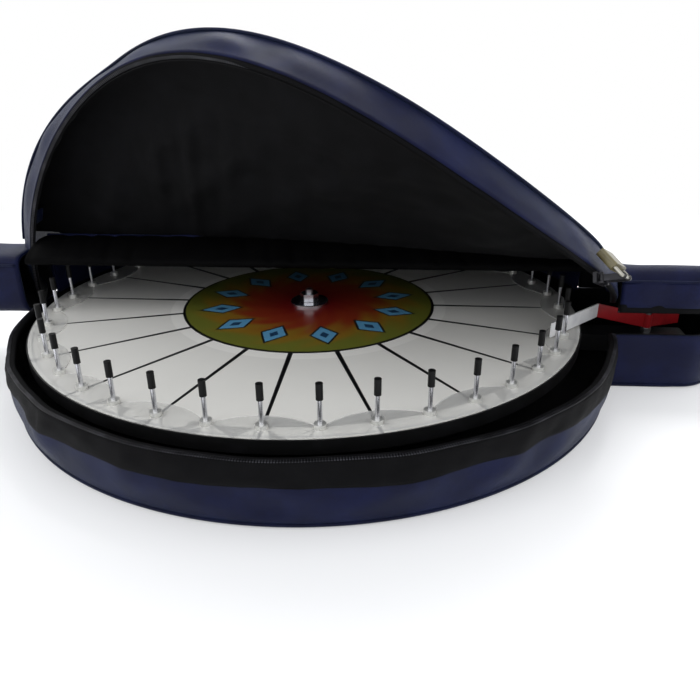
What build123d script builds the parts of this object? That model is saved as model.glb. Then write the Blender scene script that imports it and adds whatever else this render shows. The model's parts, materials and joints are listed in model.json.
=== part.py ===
from build123d import *
from math import asin, atan2, cos, degrees, pi, radians, sin, sqrt
import os

# Prize wheel carry bag: a round padded bag with two arms, half open, with its prize wheel lying in it.
# Millimetres, +Z up. The origin is on the floor at the centre of the round part. +X runs along the
# long arm that holds the flapper, +Y points to the closed back of the bag.

os.makedirs("parts", exist_ok=True)

# Prize wheel
wheel_x = -10.0
wheel_y = -1.0
wheel_turn = -0.97
board_radius = 392.0
board_bottom = 67.0
board_thickness = 14.5
face_thickness = 1.5
cover_thickness = 1.0
trim_width = 2.0
decal_radius = 188.0
decal_thickness = 0.6
peg_edge_distance = 20.0
peg_count = 40
peg_radius = 2.5
peg_height = 51.0
peg_depth = 10.0
peg_base_radius = 6.5
peg_base_height = 6.0
peg_tip_radius = 3.8
peg_tip_length = 18.0
peg_tip_roof = 4.0
peg_hole_clearance = 0.4
scallop_depth = 25.0
bushing_radius = 15.0
front_flange_radius = 28.5
front_flange_height = 4.0
rear_flange_radius = 60.0
rear_flange_height = 7.0
flange_screw_radius = 2.5
flange_screw_head_radius = 4.5
flange_screw_head_height = 2.5
flange_screw_circle = 45.0
flange_screw_depth = 10.0

# Bag
wheel_clearance = 25.5
mouth_height = 80.0
lid_depth = 65.0
cloth = 4.0
lining = 1.5
floor_cloth = 2.5
floor_foam_thickness = 5.0
piping_width = 3.0
piping_height = 4.0
lower_tape_height = 27.0
upper_tape_height = 10.0
seam_gap = 0.5
peg_circle_radius = board_radius - peg_edge_distance
bag_radius = board_radius + trim_width + wheel_clearance + lining + cloth

# Fold line of the lid, along X at the height of the mouth, and the hump of cloth rolled over it
fold_y = -20.0
hump_radius = 104.0
hump_start_angle = 57.0
hump_end_distance = 26.0
hump_cap_bottom = 86.0
right_cap_bottom = 112.0
right_hump_start_angle = 67.0
left_hump_start_angle = 122.0
strip_thickness = 1.0
strip_end_angle = 140.0

# Lid sectors from left to right: name, left edge, right edge, opening angle, length of the tail in degrees
left_seam = -bag_radius * 0.375
right_seam = bag_radius * 0.375
lid_sectors = [
    ("left", -bag_radius, left_seam, 78.0, 25.5),
    ("middle", left_seam, right_seam, 53.0, 50.0),
    ("right", right_seam, bag_radius, 28.0, 50.0),
]

# Arms
arm_half_width = 100.0
arm_beyond_post = 88.3
arm_corner = 60.0
arm_opening_angle = 8.0
arm_cover_gap = 5.5
sleeve_front_y = -55.0
sleeve_back_y = 45.0
sleeve_bottom = 72.0
sleeve_top = 166.0
sleeve_length = 150.0
sleeve_corner = 25.0
sleeve_piping_height = 152.0

# Stand of the wheel
axle_radius = 6.0
axle_clearance = 0.15
axle_end_clearance = 0.4
axle_above_nut = 7.0
hub_nut_width = 24.0
hub_nut_height = 11.0
bearing_plate_radius = 40.0
mast_width = 40.0
mast_height = 25.0
mast_wall = 2.0
mast_bottom = 31.0
mast_turn = -3.1
mast_left_inset = 24.0
mast_beyond_post = 51.3
mast_cap_length = 14.0
mast_cap_lip = 3.0
support_length = 60.0
support_width = 70.0
support_reach = 250.0
post_beyond_pegs = 124.7
post_radius = 3.8
post_top = 87.0
post_nut_width = 13.0
post_nut_height = 6.0

# Flapper: points of the strap in plan, counted from the post, and its height on edge
flapper_rear_x, flapper_rear_y = 52.0, 19.4
flapper_bend_x, flapper_bend_y = -80.0, -19.6
flapper_end_x, flapper_end_y = -163.0, -99.1
flapper_thickness = 2.0
flapper_height = 20.0
flapper_low = 63.5
flapper_high = 85.2
flapper_eye_wall = 2.0
flapper_clearance = 0.3

# Zip sliders, pull tabs and padlock at the right end of the lid, and the cloth tab at its left end
lock_angle = -37.0
slider_spacing = 16.0
slider_length = 14.0
slider_width = 12.0
slider_height = 4.0
slider_lug_length = 5.0
slider_lug_tip = 1.0
slider_lug_width = 2.0
slider_pin_radius = 1.1
pull_length = 30.0
pull_width = 7.0
pull_thickness = 1.6
pull_barrel_radius = 2.6
pull_clearance = 0.4
padlock_width = 34.0
padlock_length = 24.0
padlock_thickness = 10.0
padlock_gap = 12.0
padlock_lean = 39.0
shackle_radius = 2.2
shackle_half_span = 13.0
shackle_depth = 12.0
shackle_clearance = 0.3
tab_angle = -160.0
tab_width = 20.0
tab_length = 28.0
tab_thickness = 2.5
tab_bottom = 102.0

# Heights and radii that follow from the sizes above
hump_half_length = bag_radius - hump_end_distance
post_reach = peg_circle_radius + post_beyond_pegs
arm_reach = wheel_x + post_reach + arm_beyond_post
sleeve_reach = bag_radius + sleeve_length
mast_left_reach = board_radius - mast_left_inset
mast_right_reach = post_reach + mast_beyond_post
floor_top = floor_cloth + floor_foam_thickness + lining
lid_top = mouth_height + lid_depth
face_top = board_bottom + board_thickness + face_thickness
tail_inner_radius = hump_radius + seam_gap
tail_radius = tail_inner_radius + cloth
root_angle = degrees(asin(lid_depth / tail_radius))
hump_end_angle = 180 - degrees(asin(lid_depth / hump_radius))
panel_root_y = fold_y - sqrt(tail_inner_radius**2 - (lid_depth - cloth - lining) ** 2)
arm_root_x = sqrt(bag_radius**2 - arm_half_width**2)
gusset_reach_y = fold_y + lid_depth + 1.0
far = 2000.0

fold_section = Plane(origin=(0, fold_y, mouth_height), x_dir=(0, 1, 0), z_dir=(1, 0, 0))
fold_axis = Axis((0, fold_y, mouth_height), (1, 0, 0))
arm_axis = Axis((0, arm_half_width, mouth_height), (1, 0, 0))
lock_plane = Plane(
    origin=(bag_radius * cos(radians(lock_angle)), bag_radius * sin(radians(lock_angle)), mouth_height),
    x_dir=(-sin(radians(lock_angle)), cos(radians(lock_angle)), 0),
    z_dir=(cos(radians(lock_angle)), sin(radians(lock_angle)), 0),
)
lock_side = Plane(
    origin=lock_plane.origin,
    x_dir=(cos(radians(lock_angle)), sin(radians(lock_angle)), 0),
    z_dir=(sin(radians(lock_angle)), -cos(radians(lock_angle)), 0),
)
lock_top = Plane(
    origin=lock_plane.origin,
    x_dir=(-sin(radians(lock_angle)), cos(radians(lock_angle)), 0),
    z_dir=(0, 0, 1),
)


def export(piece, name):
    """Label a finished piece and write it as one STEP file named after it."""
    piece.label = name
    export_step(piece, f"parts/{name}.step")


def arm_outline(inset):
    """Rounded arm rectangle, from inside the round part to its end, drawn in from the outer cloth."""
    with BuildSketch() as outline:
        with Locations(((arm_reach - inset) / 2, 0)):
            Rectangle(arm_reach - inset, 2 * (arm_half_width - inset))
        fillet(outline.vertices().group_by(Axis.X)[-1], arm_corner - inset)
    return outline.sketch


def bag_outline(inset):
    """Round part joined with the long arm, drawn in from the outer cloth."""
    with BuildSketch() as outline:
        Circle(bag_radius - inset)
        add(arm_outline(inset))
    return outline.sketch


def mouth_zone():
    """Plan of the part of the mouth where the zip runs on the round part."""
    with BuildSketch() as zone:
        with Locations((0, fold_y)):
            Rectangle(far, far, align=(Align.CENTER, Align.MAX))
        with Locations((arm_root_x, 0)):
            Rectangle(far, far, align=(Align.MIN, Align.CENTER), mode=Mode.SUBTRACT)
    return zone.sketch


def band(left, right, front, back):
    """Plan rectangle between two X values and two Y values."""
    with BuildSketch() as area:
        with Locations(((left + right) / 2, (front + back) / 2)):
            Rectangle(right - left, back - front)
    return area.sketch


def arc_section(inner, outer, start, end):
    """Section of a cloth arc about the fold line; the angles run from the front, upwards and over."""
    with BuildSketch() as section:
        Circle(outer)
        Circle(inner, mode=Mode.SUBTRACT)
        points = [(0, 0)]
        steps = 8
        for step in range(steps + 1):
            turn = radians(180 - start - (end - start) * step / steps)
            points.append((2 * outer * cos(turn), 2 * outer * sin(turn)))
        with BuildLine():
            Polyline(*points, close=True)
        make_face(mode=Mode.INTERSECT)
    return section.sketch


# Base of the bag
with BuildPart() as base_floor:
    with BuildSketch():
        add(bag_outline(cloth))
    extrude(amount=floor_cloth)
export(base_floor.part, "base_floor")

with BuildPart() as floor_foam:
    with BuildSketch(Plane.XY.offset(floor_cloth)):
        add(bag_outline(cloth + lining))
    extrude(amount=floor_foam_thickness)
export(floor_foam.part, "floor_foam")

with BuildPart() as base_wall:
    with BuildSketch():
        add(bag_outline(0))
        add(bag_outline(cloth), mode=Mode.SUBTRACT)
    extrude(amount=mouth_height)
    with BuildSketch(Plane.XY.offset(mouth_height - lower_tape_height)):
        add(mouth_zone())
    extrude(amount=far, mode=Mode.SUBTRACT)
export(base_wall.part, "base_wall")

with BuildPart() as base_zip_tape:
    with BuildSketch(Plane.XY.offset(mouth_height - lower_tape_height)):
        add(bag_outline(0))
        add(bag_outline(cloth), mode=Mode.SUBTRACT)
        add(mouth_zone(), mode=Mode.INTERSECT)
    extrude(amount=lower_tape_height)
export(base_zip_tape.part, "base_zip_tape")

with BuildPart() as base_lining:
    with BuildSketch(Plane.XY.offset(floor_cloth + floor_foam_thickness)):
        add(bag_outline(cloth + lining))
    extrude(amount=lining)
    with BuildSketch(Plane.XY.offset(floor_cloth)):
        add(bag_outline(cloth))
        add(bag_outline(cloth + lining), mode=Mode.SUBTRACT)
    extrude(amount=mouth_height - floor_cloth)
export(base_lining.part, "base_lining")

with BuildPart() as base_piping:
    with BuildSketch(Plane.XY.offset(piping_height / 2)):
        add(bag_outline(-piping_width))
        add(bag_outline(0), mode=Mode.SUBTRACT)
    extrude(amount=piping_height)
    outer = base_piping.edges().filter_by(GeomType.CIRCLE).sort_by(SortBy.LENGTH)[-1:]
    chamfer(outer, piping_width / 3)

# Rear half of the top, with the hump of cloth over the fold line
with BuildPart() as rear_cover:
    with BuildSketch(Plane.XY.offset(lid_top - cloth)):
        Circle(bag_radius)
        add(band(-far, far, fold_y + lid_depth / 2, far), mode=Mode.INTERSECT)
    extrude(amount=cloth)
    with BuildSketch(fold_section):
        Circle(hump_radius - cloth)
    extrude(amount=far, both=True, mode=Mode.SUBTRACT)
    with BuildSketch(fold_section):
        add(arc_section(hump_radius - cloth, hump_radius, hump_start_angle, hump_end_angle))
    extrude(amount=hump_half_length, both=True)
    with BuildSketch(fold_section.offset(hump_half_length)):
        add(arc_section(hump_radius - cloth, hump_radius, right_hump_start_angle, hump_end_angle))
    extrude(amount=bag_radius + cloth - hump_half_length)
    with BuildSketch(fold_section.offset(-hump_half_length)):
        add(arc_section(hump_radius - cloth, hump_radius, left_hump_start_angle, hump_end_angle))
    extrude(amount=-(bag_radius - cloth - lining - hump_half_length))
    with BuildSketch():
        Circle(bag_radius + cloth + seam_gap)
    extrude(amount=far, mode=Mode.INTERSECT)
export(rear_cover.part, "rear_cover")

with BuildPart() as rear_gusset:
    with BuildSketch(Plane.XY.offset(mouth_height)):
        Circle(bag_radius)
        Circle(bag_radius - cloth, mode=Mode.SUBTRACT)
        add(band(-far, far, gusset_reach_y, far), mode=Mode.INTERSECT)
        add(band(arm_root_x, far, -far, far), mode=Mode.SUBTRACT)
    extrude(amount=lid_depth - cloth)
export(rear_gusset.part, "rear_gusset")

with BuildPart() as rear_lining:
    with BuildSketch(Plane.XY.offset(mouth_height)):
        Circle(bag_radius - cloth)
        Circle(bag_radius - cloth - lining, mode=Mode.SUBTRACT)
        add(band(-far, far, gusset_reach_y, far), mode=Mode.INTERSECT)
        add(band(arm_root_x, far, -far, far), mode=Mode.SUBTRACT)
    extrude(amount=lid_depth - cloth)
    with BuildSketch(Plane.XY.offset(lid_top - cloth - lining)):
        Circle(bag_radius - cloth)
        add(band(-far, far, gusset_reach_y + hump_radius / 4, far), mode=Mode.INTERSECT)
    extrude(amount=lining)
export(rear_lining.part, "rear_lining")

with BuildPart() as rear_piping:
    with BuildSketch(Plane.XY.offset(lid_top - piping_height)):
        Circle(bag_radius + piping_width)
        Circle(bag_radius, mode=Mode.SUBTRACT)
        add(band(-far, far, gusset_reach_y + piping_width, far), mode=Mode.INTERSECT)
        add(band(0, far, -far, arm_half_width + piping_width), mode=Mode.SUBTRACT)
    extrude(amount=piping_height)

with BuildPart() as fold_strip:
    with BuildSketch(fold_section):
        add(arc_section(hump_radius - cloth - strip_thickness, hump_radius - cloth, hump_start_angle,
                        strip_end_angle))
    extrude(amount=hump_half_length - cloth, both=True)
export(fold_strip.part, "fold_strip")

with BuildPart() as fold_cap_left:
    with BuildSketch(fold_section.offset(-hump_half_length)):
        Circle(hump_radius - cloth)
        with Locations((0, hump_cap_bottom - mouth_height)):
            Rectangle(far, far, align=(Align.CENTER, Align.MIN), mode=Mode.INTERSECT)
        with Locations((-hump_radius * cos(radians(hump_start_angle)), 0)):
            Rectangle(far, far, align=(Align.MAX, Align.CENTER), mode=Mode.SUBTRACT)
    extrude(amount=cloth)
    with BuildSketch(Plane.XY.offset(hump_cap_bottom - cloth)):
        add(band(-far, 0, sleeve_front_y + 2 * cloth, sleeve_back_y - 2 * cloth))
    extrude(amount=sleeve_top - 2 * cloth - hump_cap_bottom + cloth, mode=Mode.SUBTRACT)

with BuildPart() as fold_cap_right:
    with BuildSketch(Plane.XY.offset(right_cap_bottom)):
        Circle(bag_radius + cloth + seam_gap)
        Circle(bag_radius + seam_gap, mode=Mode.SUBTRACT)
        add(band(0, far, fold_y, gusset_reach_y + piping_width), mode=Mode.INTERSECT)
    extrude(amount=far)
    with BuildSketch(fold_section):
        Circle(hump_radius - cloth)
    extrude(amount=far, mode=Mode.INTERSECT)
export(Compound(children=[*fold_cap_left.solids(), *fold_cap_right.solids()]), "fold_caps")

# Front half of the lid: drawn closed, one sector after the other, then opened about the fold line
for name, left, right, angle, tail in lid_sectors:
    low = left + seam_gap / 2
    high = right - seam_gap / 2
    rim_end = min(high, arm_root_x)

    with BuildPart() as lid_panel:
        with BuildSketch(Plane.XY.offset(lid_top - cloth)):
            Circle(bag_radius)
            add(band(low, high, -far, fold_y - lid_depth), mode=Mode.INTERSECT)
        extrude(amount=cloth)
        with BuildSketch(fold_section):
            Circle(tail_inner_radius)
        extrude(amount=far, both=True, mode=Mode.SUBTRACT)
        with BuildSketch(fold_section.offset(low)):
            add(arc_section(tail_inner_radius, tail_radius, root_angle, root_angle + tail))
        extrude(amount=high - low)
        with BuildSketch():
            Circle(bag_radius)
        extrude(amount=far, mode=Mode.INTERSECT)
    export(lid_panel.part.rotate(fold_axis, -angle), f"lid_{name}_panel")

    with BuildPart() as lid_gusset:
        with BuildSketch(Plane.XY.offset(mouth_height + upper_tape_height)):
            Circle(bag_radius)
            Circle(bag_radius - cloth, mode=Mode.SUBTRACT)
            add(band(low, rim_end, -far, fold_y - seam_gap), mode=Mode.INTERSECT)
        extrude(amount=lid_depth - cloth - upper_tape_height)
    export(lid_gusset.part.rotate(fold_axis, -angle), f"lid_{name}_gusset")

    with BuildPart() as lid_zip_tape:
        with BuildSketch(Plane.XY.offset(mouth_height + seam_gap)):
            Circle(bag_radius)
            Circle(bag_radius - cloth, mode=Mode.SUBTRACT)
            add(band(low, rim_end, -far, fold_y - seam_gap), mode=Mode.INTERSECT)
        extrude(amount=upper_tape_height - seam_gap)
    export(lid_zip_tape.part.rotate(fold_axis, -angle), f"lid_{name}_zip_tape")

    with BuildPart() as lid_lining:
        with BuildSketch(Plane.XY.offset(mouth_height + seam_gap)):
            Circle(bag_radius - cloth)
            Circle(bag_radius - cloth - lining, mode=Mode.SUBTRACT)
            add(band(low, rim_end, -far, fold_y - seam_gap), mode=Mode.INTERSECT)
        extrude(amount=lid_depth - cloth - seam_gap)
        with BuildSketch(Plane.XY.offset(lid_top - cloth - lining)):
            Circle(bag_radius - cloth)
            add(band(low, high, -far, panel_root_y - seam_gap), mode=Mode.INTERSECT)
        extrude(amount=lining)
    export(lid_lining.part.rotate(fold_axis, -angle), f"lid_{name}_lining")

    with BuildPart() as lid_piping:
        with BuildSketch(Plane.XY.offset(lid_top - piping_height)):
            Circle(bag_radius + piping_width)
            Circle(bag_radius, mode=Mode.SUBTRACT)
            add(band(max(low, -arm_root_x), min(high, arm_root_x), -far, panel_root_y), mode=Mode.INTERSECT)
        extrude(amount=piping_height)
    export(lid_piping.part.rotate(fold_axis, -angle), f"lid_{name}_piping")

# Upper shell of the long arm, hinged along its back edge
with BuildPart() as arm_cover:
    with BuildSketch(Plane.XY.offset(mouth_height + upper_tape_height)):
        add(arm_outline(0))
        add(arm_outline(cloth), mode=Mode.SUBTRACT)
    extrude(amount=lid_depth - upper_tape_height)
    with BuildSketch(Plane.XY.offset(lid_top - cloth)):
        add(arm_outline(0))
    extrude(amount=cloth)
    with BuildSketch():
        Circle(bag_radius + arm_cover_gap)
    extrude(amount=far, mode=Mode.SUBTRACT)
    with BuildSketch():
        add(band(0, far, -far, far))
    extrude(amount=far, mode=Mode.INTERSECT)
export(arm_cover.part.rotate(arm_axis, -arm_opening_angle), "arm_cover")

with BuildPart() as arm_zip_tape:
    with BuildSketch(Plane.XY.offset(mouth_height + seam_gap)):
        add(arm_outline(0))
        add(arm_outline(cloth), mode=Mode.SUBTRACT)
        Circle(bag_radius + arm_cover_gap, mode=Mode.SUBTRACT)
        add(band(arm_half_width, far, -far, far), mode=Mode.INTERSECT)
    extrude(amount=upper_tape_height - seam_gap)
export(arm_zip_tape.part.rotate(arm_axis, -arm_opening_angle), "arm_zip_tape")

with BuildPart() as arm_lining:
    with BuildSketch(Plane.XY.offset(mouth_height + seam_gap)):
        add(arm_outline(cloth))
        add(arm_outline(cloth + lining), mode=Mode.SUBTRACT)
    extrude(amount=lid_depth - cloth - seam_gap)
    with BuildSketch(Plane.XY.offset(lid_top - cloth - lining)):
        add(arm_outline(cloth))
    extrude(amount=lining)
    with BuildSketch():
        Circle(bag_radius + arm_cover_gap)
    extrude(amount=far, mode=Mode.SUBTRACT)
    with BuildSketch():
        add(band(0, far, -far, far))
    extrude(amount=far, mode=Mode.INTERSECT)
export(arm_lining.part.rotate(arm_axis, -arm_opening_angle), "arm_lining")

with BuildPart() as arm_piping:
    with BuildSketch(Plane.XY.offset(lid_top - piping_height)):
        add(arm_outline(-piping_width))
        add(arm_outline(0), mode=Mode.SUBTRACT)
        Circle(bag_radius + arm_cover_gap, mode=Mode.SUBTRACT)
        add(band(arm_half_width, far, -far, far), mode=Mode.INTERSECT)
    extrude(amount=piping_height)
export(arm_piping.part.rotate(arm_axis, -arm_opening_angle), "arm_piping")

# Short arm: a closed sleeve that stands off the floor
sleeve_middle = (sleeve_front_y + sleeve_back_y) / 2
sleeve_width = sleeve_back_y - sleeve_front_y
sleeve_depth = sleeve_top - sleeve_bottom
sleeve_section = Plane(origin=(-sleeve_reach, sleeve_middle, sleeve_bottom + sleeve_depth / 2),
                       x_dir=(0, 1, 0), z_dir=(1, 0, 0))

with BuildPart() as sleeve:
    with BuildSketch(sleeve_section):
        RectangleRounded(sleeve_width, sleeve_depth, sleeve_corner)
    extrude(amount=sleeve_reach)
    with BuildSketch(sleeve_section.offset(cloth)):
        RectangleRounded(sleeve_width - 2 * cloth, sleeve_depth - 2 * cloth, sleeve_corner - cloth)
    extrude(amount=sleeve_reach, mode=Mode.SUBTRACT)
    with BuildSketch():
        Circle(bag_radius)
    extrude(amount=far, mode=Mode.SUBTRACT)
    with BuildSketch(Plane.XY.offset(mouth_height)):
        add(band(-bag_radius - seam_gap, 0, -far, far))
    extrude(amount=far, mode=Mode.SUBTRACT)
export(sleeve.part, "sleeve")

with BuildPart() as sleeve_lining:
    with BuildSketch(sleeve_section.offset(cloth)):
        RectangleRounded(sleeve_width - 2 * cloth, sleeve_depth - 2 * cloth, sleeve_corner - cloth)
    extrude(amount=sleeve_reach)
    with BuildSketch(sleeve_section.offset(cloth + lining)):
        RectangleRounded(sleeve_width - 2 * cloth - 2 * lining, sleeve_depth - 2 * cloth - 2 * lining,
                         sleeve_corner - cloth - lining)
    extrude(amount=sleeve_reach, mode=Mode.SUBTRACT)
    with BuildSketch():
        Circle(bag_radius + seam_gap)
        add(band(-bag_radius - seam_gap, 0, -far, far))
    extrude(amount=far, mode=Mode.SUBTRACT)
export(sleeve_lining.part, "sleeve_lining")

with BuildPart() as sleeve_piping:
    with BuildSketch(Plane.XY.offset(sleeve_bottom + sleeve_depth / 2 - piping_height / 2)):
        add(band(-sleeve_reach - piping_width, 0, sleeve_front_y - piping_width, sleeve_back_y + piping_width))
        add(band(-sleeve_reach, 0, sleeve_front_y, sleeve_back_y), mode=Mode.SUBTRACT)
        Circle(bag_radius + piping_width + seam_gap, mode=Mode.SUBTRACT)
    extrude(amount=piping_height)
export(Compound(children=[*base_piping.solids(), *rear_piping.solids(), *sleeve_piping.solids()]), "bag_piping")

# Prize wheel
wheel_base = Plane(origin=(wheel_x, wheel_y, 0))
peg_spots = PolarLocations(peg_circle_radius, peg_count, start_angle=wheel_turn)
face_bottom = board_bottom + board_thickness
decal_top = face_top + decal_thickness
peg_bottom = face_top - peg_depth
peg_top = face_top + peg_height
peg_hole_depth = face_bottom - peg_bottom

with BuildPart() as wheel_board:
    with BuildSketch(wheel_base.offset(board_bottom)):
        Circle(board_radius)
        Circle(bushing_radius, mode=Mode.SUBTRACT)
    extrude(amount=board_thickness)
    with BuildSketch(wheel_base.offset(peg_bottom)):
        with peg_spots:
            Circle(peg_radius)
    extrude(amount=peg_hole_depth, mode=Mode.SUBTRACT)
    with BuildSketch(wheel_base.offset(board_bottom)):
        with PolarLocations(flange_screw_circle, 4, start_angle=45):
            Circle(flange_screw_radius)
    extrude(amount=flange_screw_depth - rear_flange_height + flange_screw_radius, mode=Mode.SUBTRACT)
export(wheel_board.part, "wheel_board")

with BuildPart() as edge_trim:
    with BuildSketch(wheel_base.offset(board_bottom)):
        Circle(board_radius + trim_width)
        Circle(board_radius, mode=Mode.SUBTRACT)
    extrude(amount=face_top - board_bottom)
export(edge_trim.part, "edge_trim")

with BuildPart() as face_sheet:
    with BuildSketch(wheel_base.offset(face_bottom)):
        Circle(board_radius)
        Circle(bushing_radius, mode=Mode.SUBTRACT)
        with peg_spots:
            Circle(peg_radius, mode=Mode.SUBTRACT)
    extrude(amount=face_thickness)
export(face_sheet.part, "face_sheet")

half_step = radians(360 / peg_count)
chord = peg_circle_radius * sin(half_step)
sag = peg_circle_radius * cos(half_step) - (peg_circle_radius - scallop_depth)
scallop_radius = (chord**2 + sag**2) / (2 * sag)
with BuildPart() as clear_cover:
    with BuildSketch(wheel_base.offset(face_top)):
        with PolarLocations(peg_circle_radius - scallop_depth + scallop_radius, peg_count // 2,
                            start_angle=wheel_turn):
            Circle(scallop_radius)
        Circle(board_radius, mode=Mode.INTERSECT)
        with peg_spots:
            Circle(peg_base_radius + peg_hole_clearance, mode=Mode.SUBTRACT)
    extrude(amount=cover_thickness)
export(clear_cover.part, "clear_cover")

with BuildPart() as centre_print:
    with BuildSketch(wheel_base.offset(face_top)):
        Circle(decal_radius)
        Circle(bushing_radius, mode=Mode.SUBTRACT)
    extrude(amount=decal_thickness)
export(centre_print.part, "centre_print")

with BuildPart() as peg_shafts:
    with BuildSketch(wheel_base.offset(peg_bottom)):
        with peg_spots:
            Circle(peg_radius)
    extrude(amount=peg_top - peg_tip_roof - peg_bottom)
export(peg_shafts.part, "peg_shafts")

with BuildPart() as peg_flanges:
    with BuildSketch(wheel_base.offset(face_top)):
        with peg_spots:
            Circle(peg_base_radius)
            Circle(peg_radius, mode=Mode.SUBTRACT)
    extrude(amount=peg_base_height)
export(peg_flanges.part, "peg_flanges")

with BuildPart() as peg_tips:
    with BuildSketch(wheel_base.offset(peg_top - peg_tip_length)):
        with peg_spots:
            Circle(peg_tip_radius)
            Circle(peg_radius, mode=Mode.SUBTRACT)
    extrude(amount=peg_tip_length - peg_tip_roof)
    with BuildSketch(wheel_base.offset(peg_top - peg_tip_roof)):
        with peg_spots:
            Circle(peg_tip_radius)
    extrude(amount=peg_tip_roof)
export(peg_tips.part, "peg_tips")

with BuildPart() as hub_bushing:
    with BuildSketch(wheel_base.offset(board_bottom)):
        Circle(bushing_radius)
        Circle(axle_radius + axle_clearance, mode=Mode.SUBTRACT)
    extrude(amount=decal_top - board_bottom)
export(hub_bushing.part, "hub_bushing")

with BuildPart() as front_flange:
    with BuildSketch(wheel_base.offset(decal_top)):
        Circle(front_flange_radius)
        Circle(axle_radius + axle_clearance, mode=Mode.SUBTRACT)
    extrude(amount=front_flange_height)
    chamfer(front_flange.edges().group_by(Axis.Z)[-1].sort_by(SortBy.LENGTH)[-1:], front_flange_height / 4)
export(front_flange.part, "front_flange")

rear_flange_bottom = board_bottom - rear_flange_height
with BuildPart() as rear_flange:
    with BuildSketch(wheel_base.offset(rear_flange_bottom)):
        Circle(rear_flange_radius)
        Circle(axle_radius + axle_clearance, mode=Mode.SUBTRACT)
        with PolarLocations(flange_screw_circle, 4, start_angle=45):
            Circle(flange_screw_radius, mode=Mode.SUBTRACT)
    extrude(amount=rear_flange_height)
export(rear_flange.part, "rear_flange")

with BuildPart() as flange_screws:
    with BuildSketch(wheel_base.offset(rear_flange_bottom - flange_screw_head_height)):
        with PolarLocations(flange_screw_circle, 4, start_angle=45):
            Circle(flange_screw_head_radius)
    extrude(amount=flange_screw_head_height)
    with BuildSketch(wheel_base.offset(rear_flange_bottom)):
        with PolarLocations(flange_screw_circle, 4, start_angle=45):
            Circle(flange_screw_radius)
    extrude(amount=flange_screw_depth)
export(flange_screws.part, "flange_screws")

# Stand of the wheel, lying in the bag
nut_bottom = decal_top + front_flange_height + axle_end_clearance
mast_top = mast_bottom + mast_height
mast_plane = Plane(origin=(wheel_x, wheel_y, 0),
                   x_dir=(cos(radians(mast_turn)), sin(radians(mast_turn)), 0), z_dir=(0, 0, 1))

with BuildPart() as mast_tube:
    with BuildSketch(mast_plane.offset(mast_bottom)):
        with Locations(((mast_right_reach - mast_left_reach) / 2, 0)):
            Rectangle(mast_right_reach + mast_left_reach, mast_width)
    extrude(amount=mast_height)
    with BuildSketch(mast_plane.offset(mast_bottom + mast_wall)):
        with Locations(((mast_right_reach - mast_left_reach) / 2, 0)):
            Rectangle(mast_right_reach + mast_left_reach, mast_width - 2 * mast_wall)
    extrude(amount=mast_height - 2 * mast_wall, mode=Mode.SUBTRACT)
    with BuildSketch(mast_plane.offset(mast_bottom)):
        Circle(axle_radius)
        with Locations((post_reach, 0)):
            Circle(post_radius)
    extrude(amount=mast_height, mode=Mode.SUBTRACT)
export(mast_tube.part, "mast_tube")

with BuildPart() as mast_caps:
    with BuildSketch(mast_plane.offset(mast_bottom)):
        for reach in (-mast_left_reach - mast_cap_lip / 2, mast_right_reach + mast_cap_lip / 2):
            with Locations((reach, 0)):
                Rectangle(mast_cap_lip, mast_width)
    extrude(amount=mast_height)
    with BuildSketch(mast_plane.offset(mast_bottom + mast_wall)):
        for reach in (-mast_left_reach + mast_cap_length / 2, mast_right_reach - mast_cap_length / 2):
            with Locations((reach, 0)):
                Rectangle(mast_cap_length, mast_width - 2 * mast_wall)
    extrude(amount=mast_height - 2 * mast_wall)
export(mast_caps.part, "mast_caps")

with BuildPart() as support_blocks:
    with BuildSketch(mast_plane.offset(floor_top)):
        for reach in (-support_reach, support_reach):
            with Locations((reach, 0)):
                Rectangle(support_length, support_width)
    extrude(amount=mast_bottom - floor_top)
export(support_blocks.part, "support_blocks")

with BuildPart() as bearing_plate:
    with BuildSketch(wheel_base.offset(mast_top)):
        Circle(bearing_plate_radius)
        Circle(axle_radius, mode=Mode.SUBTRACT)
    extrude(amount=rear_flange_bottom - axle_end_clearance - mast_top)
export(bearing_plate.part, "bearing_plate")

with BuildPart() as axle:
    with BuildSketch(wheel_base.offset(mast_bottom)):
        Circle(axle_radius)
    extrude(amount=nut_bottom + hub_nut_height + axle_above_nut - mast_bottom)
    with BuildSketch(wheel_base.offset(mast_bottom - post_nut_height)):
        RegularPolygon(hub_nut_width / 2, 6, major_radius=False)
    extrude(amount=post_nut_height)
    chamfer(axle.edges().group_by(Axis.Z)[-1], axle_radius / 6)
export(axle.part, "axle")

with BuildPart() as hub_nut:
    with BuildSketch(wheel_base.offset(nut_bottom)):
        RegularPolygon(hub_nut_width / 2, 6, major_radius=False)
        Circle(axle_radius, mode=Mode.SUBTRACT)
    extrude(amount=hub_nut_height)
export(hub_nut.part, "hub_nut")

with BuildPart() as flapper_post:
    with BuildSketch(mast_plane.offset(mast_bottom - post_nut_height)):
        with Locations((post_reach, 0)):
            Circle(post_radius)
    extrude(amount=post_top - mast_bottom + post_nut_height)
export(flapper_post.part, "flapper_post")

with BuildPart() as post_nuts:
    for height in (mast_bottom - post_nut_height, mast_top):
        with BuildSketch(mast_plane.offset(height)):
            with Locations((post_reach, 0)):
                RegularPolygon(post_nut_width / 2, 6, major_radius=False)
                Circle(post_radius, mode=Mode.SUBTRACT)
        extrude(amount=post_nut_height)
export(post_nuts.part, "post_nuts")

# Flapper: a strap on edge that turns about the post; it rises over the edge of the wheel
post_x = wheel_x + post_reach * cos(radians(mast_turn))
post_y = wheel_y + post_reach * sin(radians(mast_turn))
flapper_rear = (post_x + flapper_rear_x, post_y + flapper_rear_y)
flapper_bend = (post_x + flapper_bend_x, post_y + flapper_bend_y)
flapper_end = (post_x + flapper_end_x, post_y + flapper_end_y)
eye_radius = post_radius + flapper_clearance
strap_side = Plane(origin=(0, far / 2, 0), x_dir=(1, 0, 0), z_dir=(0, -1, 0))


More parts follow.
